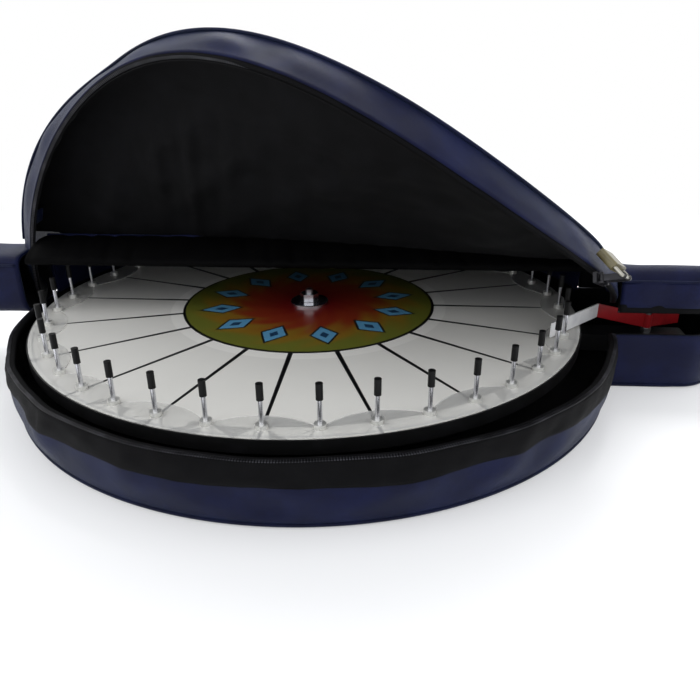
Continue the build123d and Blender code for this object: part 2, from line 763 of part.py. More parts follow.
def strap(points):
    """Plan of a strap of even thickness along a line of points."""
    with BuildSketch() as plan:
        for first, second in zip(points[:-1], points[1:]):
            length = sqrt((second[0] - first[0]) ** 2 + (second[1] - first[1]) ** 2)
            turn = degrees(atan2(second[1] - first[1], second[0] - first[0]))
            with Locations(Location(((first[0] + second[0]) / 2, (first[1] + second[1]) / 2, 0), (0, 0, turn))):
                Rectangle(length, flapper_thickness)
        for point in points[1:-1]:
            with Locations(point):
                Circle(flapper_thickness / 2)
    return plan.sketch


with BuildPart() as flapper_strap:
    with BuildSketch():
        add(strap([flapper_rear, (post_x, post_y), flapper_bend]))
        with Locations((post_x, post_y)):
            Circle(eye_radius + flapper_eye_wall)
            Circle(eye_radius, mode=Mode.SUBTRACT)
    extrude(amount=far / 2)
    with BuildSketch(strap_side):
        with BuildLine():
            Polyline((far, flapper_low), (post_x - eye_radius, flapper_low), (flapper_bend[0], flapper_high),
                     (0, flapper_high), (0, flapper_high + flapper_height),
                     (flapper_bend[0], flapper_high + flapper_height),
                     (post_x - eye_radius, flapper_low + flapper_height), (far, flapper_low + flapper_height),
                     close=True)
        make_face()
    extrude(amount=far, mode=Mode.INTERSECT)
export(flapper_strap.part, "flapper_strap")

with BuildPart() as flapper_tip:
    with BuildSketch(Plane.XY.offset(flapper_high)):
        add(strap([flapper_bend, flapper_end]))
        with Locations(flapper_bend):
            Circle(flapper_thickness / 2, mode=Mode.SUBTRACT)
        add(strap([(post_x, post_y), flapper_bend]), mode=Mode.SUBTRACT)
    extrude(amount=flapper_height)
export(flapper_tip.part, "flapper_tip")

# Zip sliders, pull tabs, padlock and cloth tab: drawn on the closed lid, then opened with it.
# The pulls stand out from the lid, and the padlock through their holes leans back towards it.
right_angle = lid_sectors[2][3]
left_angle = lid_sectors[0][3]
slider_spots = [-slider_spacing / 2, slider_spacing / 2]
slider_level = seam_gap + pull_clearance + slider_width / 2
pin_depth = seam_gap + slider_height + pull_barrel_radius + pull_clearance
lug_level = pull_width / 2 + pull_clearance + slider_lug_width / 2
lug_depth = pin_depth + slider_pin_radius + slider_lug_tip
bow_depth = pin_depth + pull_length - pull_width
bow_spot = lock_plane.from_local_coords((0, slider_level, bow_depth))
bow_lean = Vector(0, 0, 1) * cos(radians(padlock_lean)) - lock_plane.z_dir * sin(radians(padlock_lean))
bow_plane = Plane(origin=bow_spot, x_dir=lock_plane.x_dir, z_dir=bow_lean)
bow_side = Plane(origin=bow_spot, x_dir=bow_lean, z_dir=lock_plane.x_dir)

with BuildPart() as zip_sliders:
    with BuildSketch(lock_plane.offset(seam_gap)):
        for spot in slider_spots:
            with Locations((spot, slider_level)):
                Rectangle(slider_length, slider_width)
    extrude(amount=slider_height)
    with BuildSketch(lock_plane.offset(seam_gap + slider_height)):
        for spot in slider_spots:
            for side in (-1, 1):
                with Locations((spot, slider_level + side * lug_level)):
                    Rectangle(slider_lug_length, slider_lug_width)
    extrude(amount=lug_depth - seam_gap - slider_height)
    with BuildSketch(lock_top.offset(slider_level)):
        for spot in slider_spots:
            with Locations((spot, -pin_depth)):
                Circle(slider_pin_radius)
    extrude(amount=lug_level, both=True)
export(zip_sliders.part.rotate(fold_axis, -right_angle), "zip_sliders")

with BuildPart() as zip_pulls:
    with BuildSketch(lock_side):
        with Locations(((pin_depth + bow_depth) / 2, slider_level)):
            Rectangle(bow_depth - pin_depth, pull_width)
        with Locations((bow_depth, slider_level)):
            Circle(pull_width / 2)
            Circle(shackle_radius + shackle_clearance, mode=Mode.SUBTRACT)
    extrude(amount=slider_spacing / 2 + pull_thickness / 2, both=True)
    with BuildSketch(lock_plane):
        Rectangle(slider_spacing - pull_thickness, far)
    extrude(amount=far, mode=Mode.SUBTRACT)
    with BuildSketch(lock_top.offset(slider_level)):
        for spot in slider_spots:
            with Locations((spot, -pin_depth)):
                Circle(pull_barrel_radius)
    extrude(amount=pull_width / 2, both=True)
    with BuildSketch(lock_top.offset(slider_level)):
        for spot in slider_spots:
            with Locations((spot, -pin_depth)):
                Circle(slider_pin_radius + pull_clearance)
    extrude(amount=pull_width, both=True, mode=Mode.SUBTRACT)
export(zip_pulls.part.rotate(fold_axis, -right_angle), "zip_pulls")

with BuildPart() as padlock_shackle:
    with BuildSketch(bow_plane):
        for side in (-1, 1):
            with Locations((side * shackle_half_span, 0)):
                Circle(shackle_radius)
    extrude(amount=padlock_gap + shackle_depth)
    with BuildSketch(bow_side):
        Circle(shackle_radius)
    extrude(amount=shackle_half_span, both=True)
    with Locations(*[bow_plane.from_local_coords((side * shackle_half_span, 0, 0)) for side in (-1, 1)]):
        Sphere(shackle_radius)
export(padlock_shackle.part.rotate(fold_axis, -right_angle), "padlock_shackle")

with BuildPart() as padlock_body:
    with BuildSketch(bow_plane.offset(padlock_gap)):
        RectangleRounded(padlock_width, padlock_thickness, padlock_thickness / 3)
    extrude(amount=padlock_length)
    with BuildSketch(bow_plane.offset(padlock_gap)):
        for side in (-1, 1):
            with Locations((side * shackle_half_span, 0)):
                Circle(shackle_radius + shackle_clearance)
    extrude(amount=shackle_depth + shackle_clearance, mode=Mode.SUBTRACT)
export(padlock_body.part.rotate(fold_axis, -right_angle), "padlock_body")

tab_plane = Plane(
    origin=(bag_radius * cos(radians(tab_angle)), bag_radius * sin(radians(tab_angle)), 0),
    x_dir=(-sin(radians(tab_angle)), cos(radians(tab_angle)), 0),
    z_dir=(cos(radians(tab_angle)), sin(radians(tab_angle)), 0),
)
with BuildPart() as cloth_tab:
    with BuildSketch(tab_plane):
        with Locations((0, tab_bottom + tab_length / 2)):
            Rectangle(tab_width, tab_length)
    extrude(amount=tab_thickness)
export(cloth_tab.part.rotate(fold_axis, -left_angle), "cloth_tab")
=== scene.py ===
"""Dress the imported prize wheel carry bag: cloth shells, lining, zips, piping and the wheel's finishes."""
from __future__ import annotations

import json
import logging
import math
from dataclasses import dataclass, field
from enum import Enum
from typing import Callable, Sequence

import bpy
import numpy as np
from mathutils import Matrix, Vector


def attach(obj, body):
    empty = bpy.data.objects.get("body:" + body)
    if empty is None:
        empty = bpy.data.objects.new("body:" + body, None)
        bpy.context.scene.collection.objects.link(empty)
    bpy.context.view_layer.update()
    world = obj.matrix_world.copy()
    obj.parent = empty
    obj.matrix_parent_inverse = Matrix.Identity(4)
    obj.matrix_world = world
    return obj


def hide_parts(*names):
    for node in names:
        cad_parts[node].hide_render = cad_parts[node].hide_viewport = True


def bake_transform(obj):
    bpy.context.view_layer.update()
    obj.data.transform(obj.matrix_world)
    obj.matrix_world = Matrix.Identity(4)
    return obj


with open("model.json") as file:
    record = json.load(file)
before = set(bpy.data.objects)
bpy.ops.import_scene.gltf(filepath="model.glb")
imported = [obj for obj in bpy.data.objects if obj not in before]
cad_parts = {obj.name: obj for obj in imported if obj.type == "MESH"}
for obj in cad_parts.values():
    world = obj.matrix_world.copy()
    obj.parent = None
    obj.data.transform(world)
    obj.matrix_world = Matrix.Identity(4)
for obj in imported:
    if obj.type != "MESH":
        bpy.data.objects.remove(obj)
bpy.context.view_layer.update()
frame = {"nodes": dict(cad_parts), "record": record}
LOG = logging.getLogger("wheel_bag")

Array = np.ndarray
Pair = tuple[float, float]
Point = tuple[float, float, float]
Colour = tuple[float, float, float, float]
Socket = bpy.types.NodeSocket

# sizes that several sub-assemblies share, in metres
BAG_RADIUS = 0.425
ARM_HALF = 0.100
MOUTH = 0.080
TOP = 0.145
FOLD_Y = -0.020
OUTLINE_STEP = 0.006
PIPING_RADIUS = 0.0019
WHEEL_CENTRE = (-0.010, -0.001)
PEG_CIRCLE = 0.372

WHITE = (1.0, 1.0, 1.0, 1.0)


class Body(str, Enum):
    """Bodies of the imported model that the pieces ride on."""

    BAG = "bag"
    LID_LEFT = "lid_left"
    LID_RIGHT = "lid_right"
    ARM = "arm"


class Side(Enum):
    """Which face of a cloth sheet its thickness grows towards."""

    INWARD = -1.0
    OUTWARD = 1.0


# shape helpers


@dataclass(frozen=True)
class BagPlan:
    """Plan outline of the bag: the round part joined with the long arm, in metres."""


    radius: float = BAG_RADIUS
    arm_half: float = ARM_HALF
    arm_reach: float = 0.575
    arm_corner: float = 0.060

    @property
    def root(self) -> float:
        """X where the arm's sides meet the round part."""
        return math.sqrt(self.radius**2 - self.arm_half**2)

    def outline(self, step: float = OUTLINE_STEP) -> tuple[Array, Array]:
        """Walk the outline once, anticlockwise from the front corner of the arm.

        Args:
            step: Distance between points along the outline.

        Returns:
            The points and their outward normals, both of shape (n, 2).
        """
        points: list[Pair] = []
        normals: list[Pair] = []

        def line(start: Pair, end: Pair, normal: Pair) -> None:
            """Add a straight side without its last point.

            Args:
                start: Its first point.
                end: Its last point.
                normal: Its outward normal.
            """
            count = max(2, int(math.dist(start, end) / step))
            for index in range(count):
                t = index / count
                points.append((start[0] + t * (end[0] - start[0]), start[1] + t * (end[1] - start[1])))
                normals.append(normal)

        def arc(cx: float, cy: float, radius: float, first: float, last: float) -> None:
            """Add an arc without its last point.

            Args:
                cx: X of its centre.
                cy: Y of its centre.
                radius: Its radius.
                first: Its first angle, in radians.
                last: Its last angle, in radians.
            """
            count = max(4, int(abs(last - first) * radius / step))
            for index in range(count):
                a = first + (last - first) * index / count
                points.append((cx + radius * math.cos(a), cy + radius * math.sin(a)))
                normals.append((math.cos(a), math.sin(a)))

        inner = self.arm_reach - self.arm_corner
        side = self.arm_half - self.arm_corner
        line((self.root, -self.arm_half), (inner, -self.arm_half), (0.0, -1.0))
        arc(inner, -side, self.arm_corner, -math.pi / 2, 0.0)
        line((self.arm_reach, -side), (self.arm_reach, side), (1.0, 0.0))
        arc(inner, side, self.arm_corner, 0.0, math.pi / 2)
        line((inner, self.arm_half), (self.root, self.arm_half), (0.0, 1.0))
        corner = math.asin(self.arm_half / self.radius)
        arc(0.0, 0.0, self.radius, corner, 2 * math.pi - corner)
        return np.array(points), np.array(normals)


@dataclass(frozen=True)
class FoldTwist:
    """How the lid's cloth turns about the fold line, steeper towards its left end."""

    y: float = FOLD_Y
    z: float = MOUTH
    right_angle: float = math.radians(28.0)
    left_angle: float = math.radians(78.0)
    start: float = 0.460
    end: float = -0.460

    def angle(self, x: Array) -> Array:
        """Opening angle of the cloth at each X, in radians."""
        t = np.clip((self.start - x) / (self.start - self.end), 0.0, 1.0)
        return self.right_angle + (self.left_angle - self.right_angle) * t * t * (3.0 - 2.0 * t)

    def open_up(self, points: Array) -> Array:
        """Turn points of the closed lid to where they are with the lid folded up.

        Args:
            points: Array (..., 3) drawn on the closed lid.

        Returns:
            The opened points, in the same shape.
        """
        turn = self.angle(points[..., 0])
        dy, dz = points[..., 1] - self.y, points[..., 2] - self.z
        out = points.copy()
        out[..., 1] = self.y + dy * np.cos(turn) + dz * np.sin(turn)
        out[..., 2] = self.z - dy * np.sin(turn) + dz * np.cos(turn)
        return out

    def attach(self, piece: bpy.types.Object) -> None:
        """Bake a piece's transform into its mesh, where it stays without following the lid's bodies."""
        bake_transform(piece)


def smooth(t: Array) -> Array:
    """Ease from 0 to 1 over t from 0 to 1."""
    share = np.clip(t, 0.0, 1.0)
    return share * share * (3.0 - 2.0 * share)


def roll_share(x: Array) -> Array:
    """Size of the roll over the fold line, which gets lower at its right end."""
    return 1.0 - 0.19 * smooth((np.asarray(x) - 0.366) / 0.048)


def off_pegs(x: Array, y: Array) -> Array:
    """Distance outside the circle of pegs, in metres."""
    return np.hypot(x - WHEEL_CENTRE[0], y - WHEEL_CENTRE[1]) - PEG_CIRCLE


def at_height(flat: Array, height: float | Array) -> Array:
    """Plan points (n, 2) set at a height."""
    return np.column_stack([flat, np.full(len(flat), height)])


def round_row(radius: float | Array, turn: Array, height: float) -> Array:
    """Points at a radius from the bag's middle, at each angle, set at a height."""
    return np.stack([radius * np.cos(turn), radius * np.sin(turn), np.full_like(turn, height)], -1)


def ripple(u: Array, v: Array, seed: int, scale: float, count: int = 9) -> Array:
    """Smooth uneven waves for slack cloth.

    Args:
        u: First surface coordinate, in metres.
        v: Second surface coordinate, in metres.
        seed: Fixed seed of the wave directions.
        scale: Typical wave length, in metres.
        count: How many waves are added up.

    Returns:
        Values of about -1 to 1 in the shape of u.
    """
    rng = np.random.default_rng(seed)
    total = np.zeros(np.broadcast(u, v).shape)
    for _ in range(count):
        heading = rng.uniform(0, 2 * math.pi)
        wave = scale * rng.uniform(0.6, 1.9)
        phase = rng.uniform(0, 2 * math.pi)
        total = total + np.sin((u * math.cos(heading) + v * math.sin(heading)) * 2 * math.pi / wave + phase)
    return total / math.sqrt(count) / 1.3


def crease(u: Array, v: Array, seed: int, spacing: float, heading: float, width: float = 3.0) -> Array:
    """Sharp-backed folds that run roughly one way, as thin lining hangs.

    Args:
        u: First surface coordinate, in metres.
        v: Second surface coordinate, in metres.
        seed: Fixed seed of the unevenness.
        spacing: Distance between folds, in metres.
        heading: Direction across the folds, in radians.
        width: How sharp the backs are; higher is sharper.

    Returns:
        Values from 0, between folds, to 1, on their backs.
    """
    across = u * math.cos(heading) + v * math.sin(heading)
    wander = 0.35 * spacing * ripple(u, v, seed, 5 * spacing)
    strength = 0.55 + 0.45 * ripple(u, v, seed + 7, 4 * spacing)
    folds = 0.5 + 0.5 * np.cos(2 * math.pi * (across + wander) / spacing)
    return np.clip(strength, 0.05, 1.0) * folds**width


def grid_normals(points: Array, wrap: bool) -> Array:
    """Unit normals of a point grid (rows, columns, 3).

    Args:
        points: The grid; its first axis runs along rows, its second along columns.
        wrap: True where the columns close on themselves.

    Returns:
        Normals in the grid's shape.
    """
    if wrap:
        along = np.roll(points, -1, 1) - np.roll(points, 1, 1)
    else:
        along = np.gradient(points, axis=1)
    up = np.gradient(points, axis=0)
    normal = np.cross(along, up)
    length = np.linalg.norm(normal, axis=-1, keepdims=True)
    return normal / np.maximum(length, 1e-12)


def metric_uv(points: Array) -> Array:
    """Surface coordinates of each grid point, for weave that follows the cloth.

    Args:
        points: The grid (rows, columns, 3).

    Returns:
        Coordinates in metres, of shape (rows, columns, 2).
    """
    rows, cols = points.shape[:2]
    along = np.linalg.norm(np.diff(points, axis=1), axis=-1).mean(0)
    up = np.linalg.norm(np.diff(points, axis=0), axis=-1).mean(1)
    u = np.concatenate([[0.0], np.cumsum(along)])
    v = np.concatenate([[0.0], np.cumsum(up)])
    return np.stack(np.broadcast_arrays(u[None, :], v[:, None]), -1).reshape(rows, cols, 2)


def build_object(name: str, vertices: Array, faces: Sequence[Sequence[int]], uvs: Array | None,
                 finish: bpy.types.Material) -> bpy.types.Object:
    """Make a smooth shaded mesh object at the origin.

    Args:
        name: Name of the piece.
        vertices: Points (n, 3), in metres.
        faces: Corner indices of each face.
        uvs: One UV per vertex, or None.
        finish: The piece's material.

    Returns:
        The linked object.
    """
    mesh = bpy.data.meshes.new(name)
    mesh.from_pydata(np.asarray(vertices).tolist(), [], [list(f) for f in faces])
    mesh.validate()
    if uvs is not None:
        layer = mesh.uv_layers.new(name="cloth")
        corner = np.zeros(len(mesh.loops), dtype=np.int32)
        mesh.loops.foreach_get("vertex_index", corner)
        layer.data.foreach_set("uv", np.asarray(uvs)[corner].astype(np.float32).ravel())
    mesh.materials.append(finish)
    mesh.polygons.foreach_set("use_smooth", [True] * len(mesh.polygons))
    mesh.update()
    piece = bpy.data.objects.new(name, mesh)
    bpy.context.scene.collection.objects.link(piece)
    return piece


def cloth_shell(name: str, face: Array, finish: bpy.types.Material, thickness: float,
                wrap: bool = False, side: Side = Side.INWARD) -> bpy.types.Object:
    """Closed cloth of even thickness on a point grid whose normals point outwards.

    Args:
        name: Name of the piece.
        face: Grid (rows, columns, 3) of the given face.
        finish: The piece's material.
        thickness: Thickness of the cloth, in metres.
        wrap: True where the columns close on themselves.
        side: The side of the grid on which the cloth's other face lies.

    Returns:
        The linked object.
    """
    normals = grid_normals(face, wrap)
    other = face + normals * thickness * side.value
    outer, inner = (face, other) if side is Side.INWARD else (other, face)
    rows, cols = face.shape[:2]
    vertices = np.concatenate([outer.reshape(-1, 3), inner.reshape(-1, 3)])
    uv = metric_uv(face).reshape(-1, 2)
    shift = rows * cols
    faces: list[tuple[int, int, int, int]] = []
    last = cols if wrap else cols - 1
    for r in range(rows - 1):
        for c in range(last):
            a, b = r * cols + c, r * cols + (c + 1) % cols
            d, e = a + cols, b + cols
            faces.append((a, b, e, d))
            faces.append((a + shift, d + shift, e + shift, b + shift))
    for c in range(last):
        n = (c + 1) % cols
        faces.append((c, c + shift, n + shift, n))
        t, u = (rows - 1) * cols + c, (rows - 1) * cols + n
        faces.append((t, u, u + shift, t + shift))
    if not wrap:
        for r in range(rows - 1):
            a, b = r * cols, (r + 1) * cols
            faces.append((a, b, b + shift, a + shift))
            a, b = a + cols - 1, b + cols - 1
            faces.append((a, a + shift, b + shift, b))
    return build_object(name, vertices, faces, np.concatenate([uv, uv]), finish)


class Held(str, Enum):
    """How a sheet of cloth is held."""

    HUNG = "hung"
    FOLDED = "folded"
    GATHERED = "gathered"
    STRETCHED = "stretched"


def settle(piece: bpy.types.Object, carrier: Body | FoldTwist, slot: str, *nodes: str) -> None:
    """Let a piece move with the body that carries it, or bake it in place on the twist, and hide the CAD
    nodes that it replaces.

    Args:
        piece: The piece.
        carrier: The body that it rides on, or the twist, on which it is baked in place.
        slot: The record's material slot of its finish; not used.
        *nodes: CAD nodes that it replaces.
    """
    if isinstance(carrier, FoldTwist):
        carrier.attach(piece)
    else:
        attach(piece, carrier.value)
    if nodes:
        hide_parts(*nodes)


def reshape(piece: bpy.types.Object, change: Callable[[Array], Array]) -> None:
    """Move the points of a mesh.

    Args:
        piece: The piece.
        change: Gives the new points (n, 3) from the old ones.
    """
    points = np.array([v.co for v in piece.data.vertices])
    piece.data.vertices.foreach_set("co", change(points).astype(np.float32).ravel())
    piece.data.update()


def tube(name: str, path: Array, radius: float, finish: bpy.types.Material, closed: bool,
         sides: int = 8) -> bpy.types.Object:
    """Round cord of cloth along a path, such as piping.

    Args:
        name: Name of the piece.
        path: Points (n, 3) of its middle line.
        radius: Radius of the cord.
        finish: The piece's material.
        closed: True where the path returns to its start.
        sides: Number of sides of the section.

    Returns:
        The linked object.
    """
    count = len(path)
    if closed:
        along = np.roll(path, -1, 0) - np.roll(path, 1, 0)
    else:
        along = np.gradient(path, axis=0)
    along /= np.linalg.norm(along, axis=1, keepdims=True)
    up = np.array([0.0, 0.0, 1.0]) - along * along[:, 2:3]
    weak = np.linalg.norm(up, axis=1) < 0.2
    up[weak] = np.array([0.0, 1.0, 0.0]) - along[weak] * along[weak, 1:2]
    up /= np.linalg.norm(up, axis=1, keepdims=True)
    out = np.cross(along, up)
    turn = np.arange(sides) * 2 * math.pi / sides
    around = out[:, None, :] * np.cos(turn)[None, :, None] + up[:, None, :] * np.sin(turn)[None, :, None]
    vertices = (path[:, None, :] + around * radius).reshape(-1, 3)
    length = np.concatenate([[0.0], np.cumsum(np.linalg.norm(np.diff(path, axis=0), axis=1))])
    uv = np.stack(np.broadcast_arrays(length[:, None], (turn * radius)[None, :]), -1).reshape(-1, 2)
    faces: list[Sequence[int]] = []
    for i in range(count if closed else count - 1):
        j = (i + 1) % count
        for s in range(sides):
            n = (s + 1) % sides
            faces.append((i * sides + s, j * sides + s, j * sides + n, i * sides + n))
    if not closed:
        faces.append(list(range(sides)))
        faces.append(list(range((count - 1) * sides, count * sides))[::-1])
    return build_object(name, vertices, faces, uv, finish)


# finishes


class Graph:
    """Small builder for the node tree of a material or a world."""

    def __init__(self, holder: bpy.types.Material | bpy.types.World) -> None:
        """Start on a new material or world.

        Args:
            holder: What the nodes belong to.
        """
        holder.use_nodes = True
        self.holder = holder
        self.tree = holder.node_tree
        self.shader = next(n for n in self.tree.nodes if n.type in ("BSDF_PRINCIPLED", "BACKGROUND"))
        self.output = next(n for n in self.tree.nodes if n.type in ("OUTPUT_MATERIAL", "OUTPUT_WORLD"))

    def put(self, socket: Socket, value: object) -> None:
        """Set an input socket, or link it where the value is an output socket.

        Args:
            socket: The input socket.
            value: A value or an output socket.
        """
        if isinstance(value, bpy.types.NodeSocket):
            self.tree.links.new(value, socket)
        else:
            socket.default_value = value

    def node(self, kind: str, inputs: dict[str | int, object] | None = None,
             **settings: object) -> bpy.types.Node:
        """Add a node.

        Args:
            kind: Blender's node type name without the ShaderNode prefix.
            inputs: Values or output sockets by input name or index.
            **settings: Properties of the node.

        Returns:
            The new node.
        """
        made = self.tree.nodes.new("ShaderNode" + kind)
        for key, value in settings.items():
            setattr(made, key, value)
        for key, value in (inputs or {}).items():
            self.put(made.inputs[key], value)
        return made

    def feed(self, values: dict[str, object]) -> None:
        """Set or link inputs of the shader by name."""
        for name, value in values.items():
            self.put(self.shader.inputs[name], value)

    def place(self) -> Socket:
        """Object coordinates."""
        return self.node("TexCoord").outputs["Object"]

    def math(self, operation: str, first: object, second: object = 0.0, third: object = 0.0) -> Socket:
        """One step of arithmetic on numbers or sockets."""
        return self.node("Math", {0: first, 1: second, 2: third}, operation=operation).outputs[0]

    def blend(self, share: object, first: object, second: object) -> Socket:
        """Mix two colours by a share of 0 to 1."""
        return self.node("Mix", {0: share, 6: first, 7: second}, data_type="RGBA").outputs[2]

    def noise(self, vector: object, scale: float, detail: float = 3.0, rough: float = 0.55) -> Socket:
        """Noise value on a vector."""
        inputs = {"Vector": vector, "Scale": scale, "Detail": detail, "Roughness": rough}
        return self.node("TexNoise", inputs).outputs[0]

    def step(self, value: object, low: float, high: float) -> Socket:
        """0 below low, 1 above high, smooth between."""
        inputs = {0: value, 1: low, 2: high, 3: 0.0, 4: 1.0}
        return self.node("MapRange", inputs, interpolation_type="SMOOTHSTEP").outputs[0]

    def within(self, value: object, low: float, high: float) -> Socket:
        """1 below low, 0 above high, smooth between."""
        return self.math("SUBTRACT", 1.0, self.step(value, low, high))

    def off_ray(self, turns: Socket, pitch: float, radius: Socket) -> Socket:
        """Distance across from the middle between whole numbers of turns.

        Args:
            turns: Angle in pitches.
            pitch: Angle between rays, in radians.
            radius: Distance from the rays' common centre.

        Returns:
            The distance, in metres.
        """
        near = self.math("SUBTRACT", self.math("FRACT", turns), 0.5)
        return self.math("MULTIPLY", self.math("MULTIPLY", self.math("ABSOLUTE", near), pitch), radius)

    def seen(self) -> Socket:
        """Tell what looks at the background from light that falls on the object.

        Returns:
            1 for rays of the camera, gloss and glass, 0 for others.
        """
        rays = self.node("LightPath").outputs
        share = rays["Is Camera Ray"]
        for kind in ("Is Glossy Ray", "Is Transmission Ray"):
            share = self.math("MAXIMUM", share, rays[kind])
        return share

    def bump(self, height: object, strength: float, distance: float) -> None:
        """Give the shader a bump from a height value."""
        made = self.node("Bump", {"Height": height, "Strength": strength, "Distance": distance})
        self.feed({"Normal": made.outputs[0]})


def light_level(value: float) -> float:
    """Share of light of a screen value of 0 to 255."""
    v = value / 255.0
    return v / 12.92 if v <= 0.04045 else ((v + 0.055) / 1.055) ** 2.4


def rgb(red: float, green: float, blue: float) -> Colour:
    """Colour from screen values of 0 to 255."""
    return (light_level(red), light_level(green), light_level(blue), 1.0)


@dataclass(frozen=True)
class Cloth:
    """Woven cloth that shows its threads on the piece's own surface coordinates."""

    name: str
    base: Colour
    worn: Colour
    thread: float = 0.0011
    roughness: float = 0.62
    sheen: float = 0.25
    sheen_tint: Colour = WHITE
    gloss: float = 0.3
    wrinkle: float = 0.35
    weave_depth: float = 0.10
    patch_scale: float = 22.0
    fibre_scale: float = 240.0
    wrinkle_scale: float = 55.0

    def material(self) -> bpy.types.Material:
        """Build the material.

        Returns:
            The material, whose weave needs the UV map "cloth".
        """
        g = Graph(bpy.data.materials.new(self.name))
        place = g.place()
        surface = g.node("UVMap", uv_map="cloth").outputs[0]
        axis = g.node("SeparateXYZ", {0: surface}).outputs
        waves = 2 * math.pi / self.thread
        warp, weft = (g.math("SINE", g.math("MULTIPLY", axis[i], waves)) for i in (0, 1))
        weave = g.math("MULTIPLY", warp, weft)
        patch = g.step(g.noise(place, self.patch_scale, detail=4.0), 0.35, 0.75)
        colour = g.blend(patch, self.base, self.worn)
        speck = g.math("MULTIPLY_ADD", g.noise(place, self.fibre_scale, detail=2.0), 0.5, 0.72)
        tone = g.node("VectorMath", {0: colour, 3: speck}, operation="SCALE").outputs[0]
        g.feed({"Base Color": tone, "Roughness": self.roughness, "Specular IOR Level": self.gloss,
                "Sheen Weight": self.sheen, "Sheen Roughness": 0.45, "Sheen Tint": self.sheen_tint})
        soft = g.noise(place, self.wrinkle_scale, detail=4.0, rough=0.6)
        threads = g.math("MULTIPLY", weave, self.weave_depth)
        g.bump(g.math("ADD", threads, g.math("MULTIPLY", soft, self.wrinkle)), strength=0.55, distance=0.0022)
        return g.holder


@dataclass(frozen=True)
class Solid:
    """Moulded, painted or bare material with fine grain, patches of a second tone and uneven roughness."""

    name: str
    base: Colour
    other: Colour
    roughness: float = 0.4
    metallic: float = 0.0
    grain: float = 180.0
    bump: float = 0.08
    coat: float = 0.0
    gloss: float = 0.5
    wear: float = 0.22

    def material(self) -> bpy.types.Material:
        """Build the material.

        Returns:
            The material, on Object coordinates.
        """
        g = Graph(bpy.data.materials.new(self.name))
        place = g.place()
        patch = g.step(g.noise(place, self.grain * 0.25, detail=4.0), 0.4, 0.72)
        fine = g.noise(place, self.grain, detail=3.0)
        rough = g.math("MULTIPLY_ADD", fine, self.wear, self.roughness - self.wear / 2)
        g.feed({"Base Color": g.blend(patch, self.base, self.other), "Roughness": rough,
                "Metallic": self.metallic, "Specular IOR Level": self.gloss, "Coat Weight": self.coat})
        g.bump(fine, strength=self.bump, distance=0.0006)
        return g.holder


@dataclass(frozen=True)
class WheelFace:
    """White face with black rays between the segments and a soft grey line inside the edge."""

    name: str = "white_face"
    centre: Pair = WHEEL_CENTRE
    turn: float = math.radians(-0.97)
    segments: int = 20
    inner: float = 0.188
    outer: float = 0.392
    ray_inner: float = 0.0029
    ray_outer: float = 0.0013
    edge_line: float = 0.3865
    halo: float = 0.204

    def polar(self, g: Graph) -> tuple[Socket, Socket]:
        """Find where a point lies about the wheel's centre.

        Args:
            g: The material's graph.

        Returns:
            Its radius and its angle, on Object coordinates.
        """
        shift = (-self.centre[0], -self.centre[1], 0.0)
        centred = g.node("Mapping", {"Vector": g.place(), "Location": shift})
        axis = g.node("SeparateXYZ", {0: centred.outputs[0]})
        x, y = axis.outputs[0], axis.outputs[1]
        radius = g.math("SQRT", g.math("ADD", g.math("MULTIPLY", x, x), g.math("MULTIPLY", y, y)))
        return radius, g.math("ARCTAN2", y, x)

    def material(self) -> bpy.types.Material:
        """Build the material.

        Returns:
            The material, on Object coordinates.
        """
        g = Graph(bpy.data.materials.new(self.name))
        radius, angle = self.polar(g)
        pitch = 2 * math.pi / self.segments
        turns = g.math("ADD", g.math("DIVIDE", g.math("SUBTRACT", angle, self.turn), pitch), 0.5)
        across = g.off_ray(turns, pitch, radius)
        widths = {0: radius, 1: self.inner, 2: self.outer, 3: self.ray_inner, 4: self.ray_outer}
        half = g.node("MapRange", widths).outputs[0]
        ray = g.within(g.math("SUBTRACT", across, half), 0.0, 0.0006)
        edge = g.within(g.math("ABSOLUTE", g.math("SUBTRACT", radius, self.edge_line)), 0.0008, 0.0016)
        halo = g.within(radius, self.halo, self.halo + 0.003)
        place = g.place()
        white = g.blend(g.noise(place, scale=6.0, detail=3.0), rgb(230, 228, 222), rgb(240, 238, 232))
        white = g.blend(halo, white, rgb(246, 244, 238))
        lined = g.blend(g.math("MULTIPLY", edge, 0.45), white, rgb(95, 95, 100))
        g.feed({"Base Color": g.blend(ray, lined, rgb(14, 14, 16)), "Roughness": 0.32,
                "Specular IOR Level": 0.45})
        g.bump(g.noise(place, scale=90.0, detail=2.0), strength=0.02, distance=0.0005)
        return g.holder


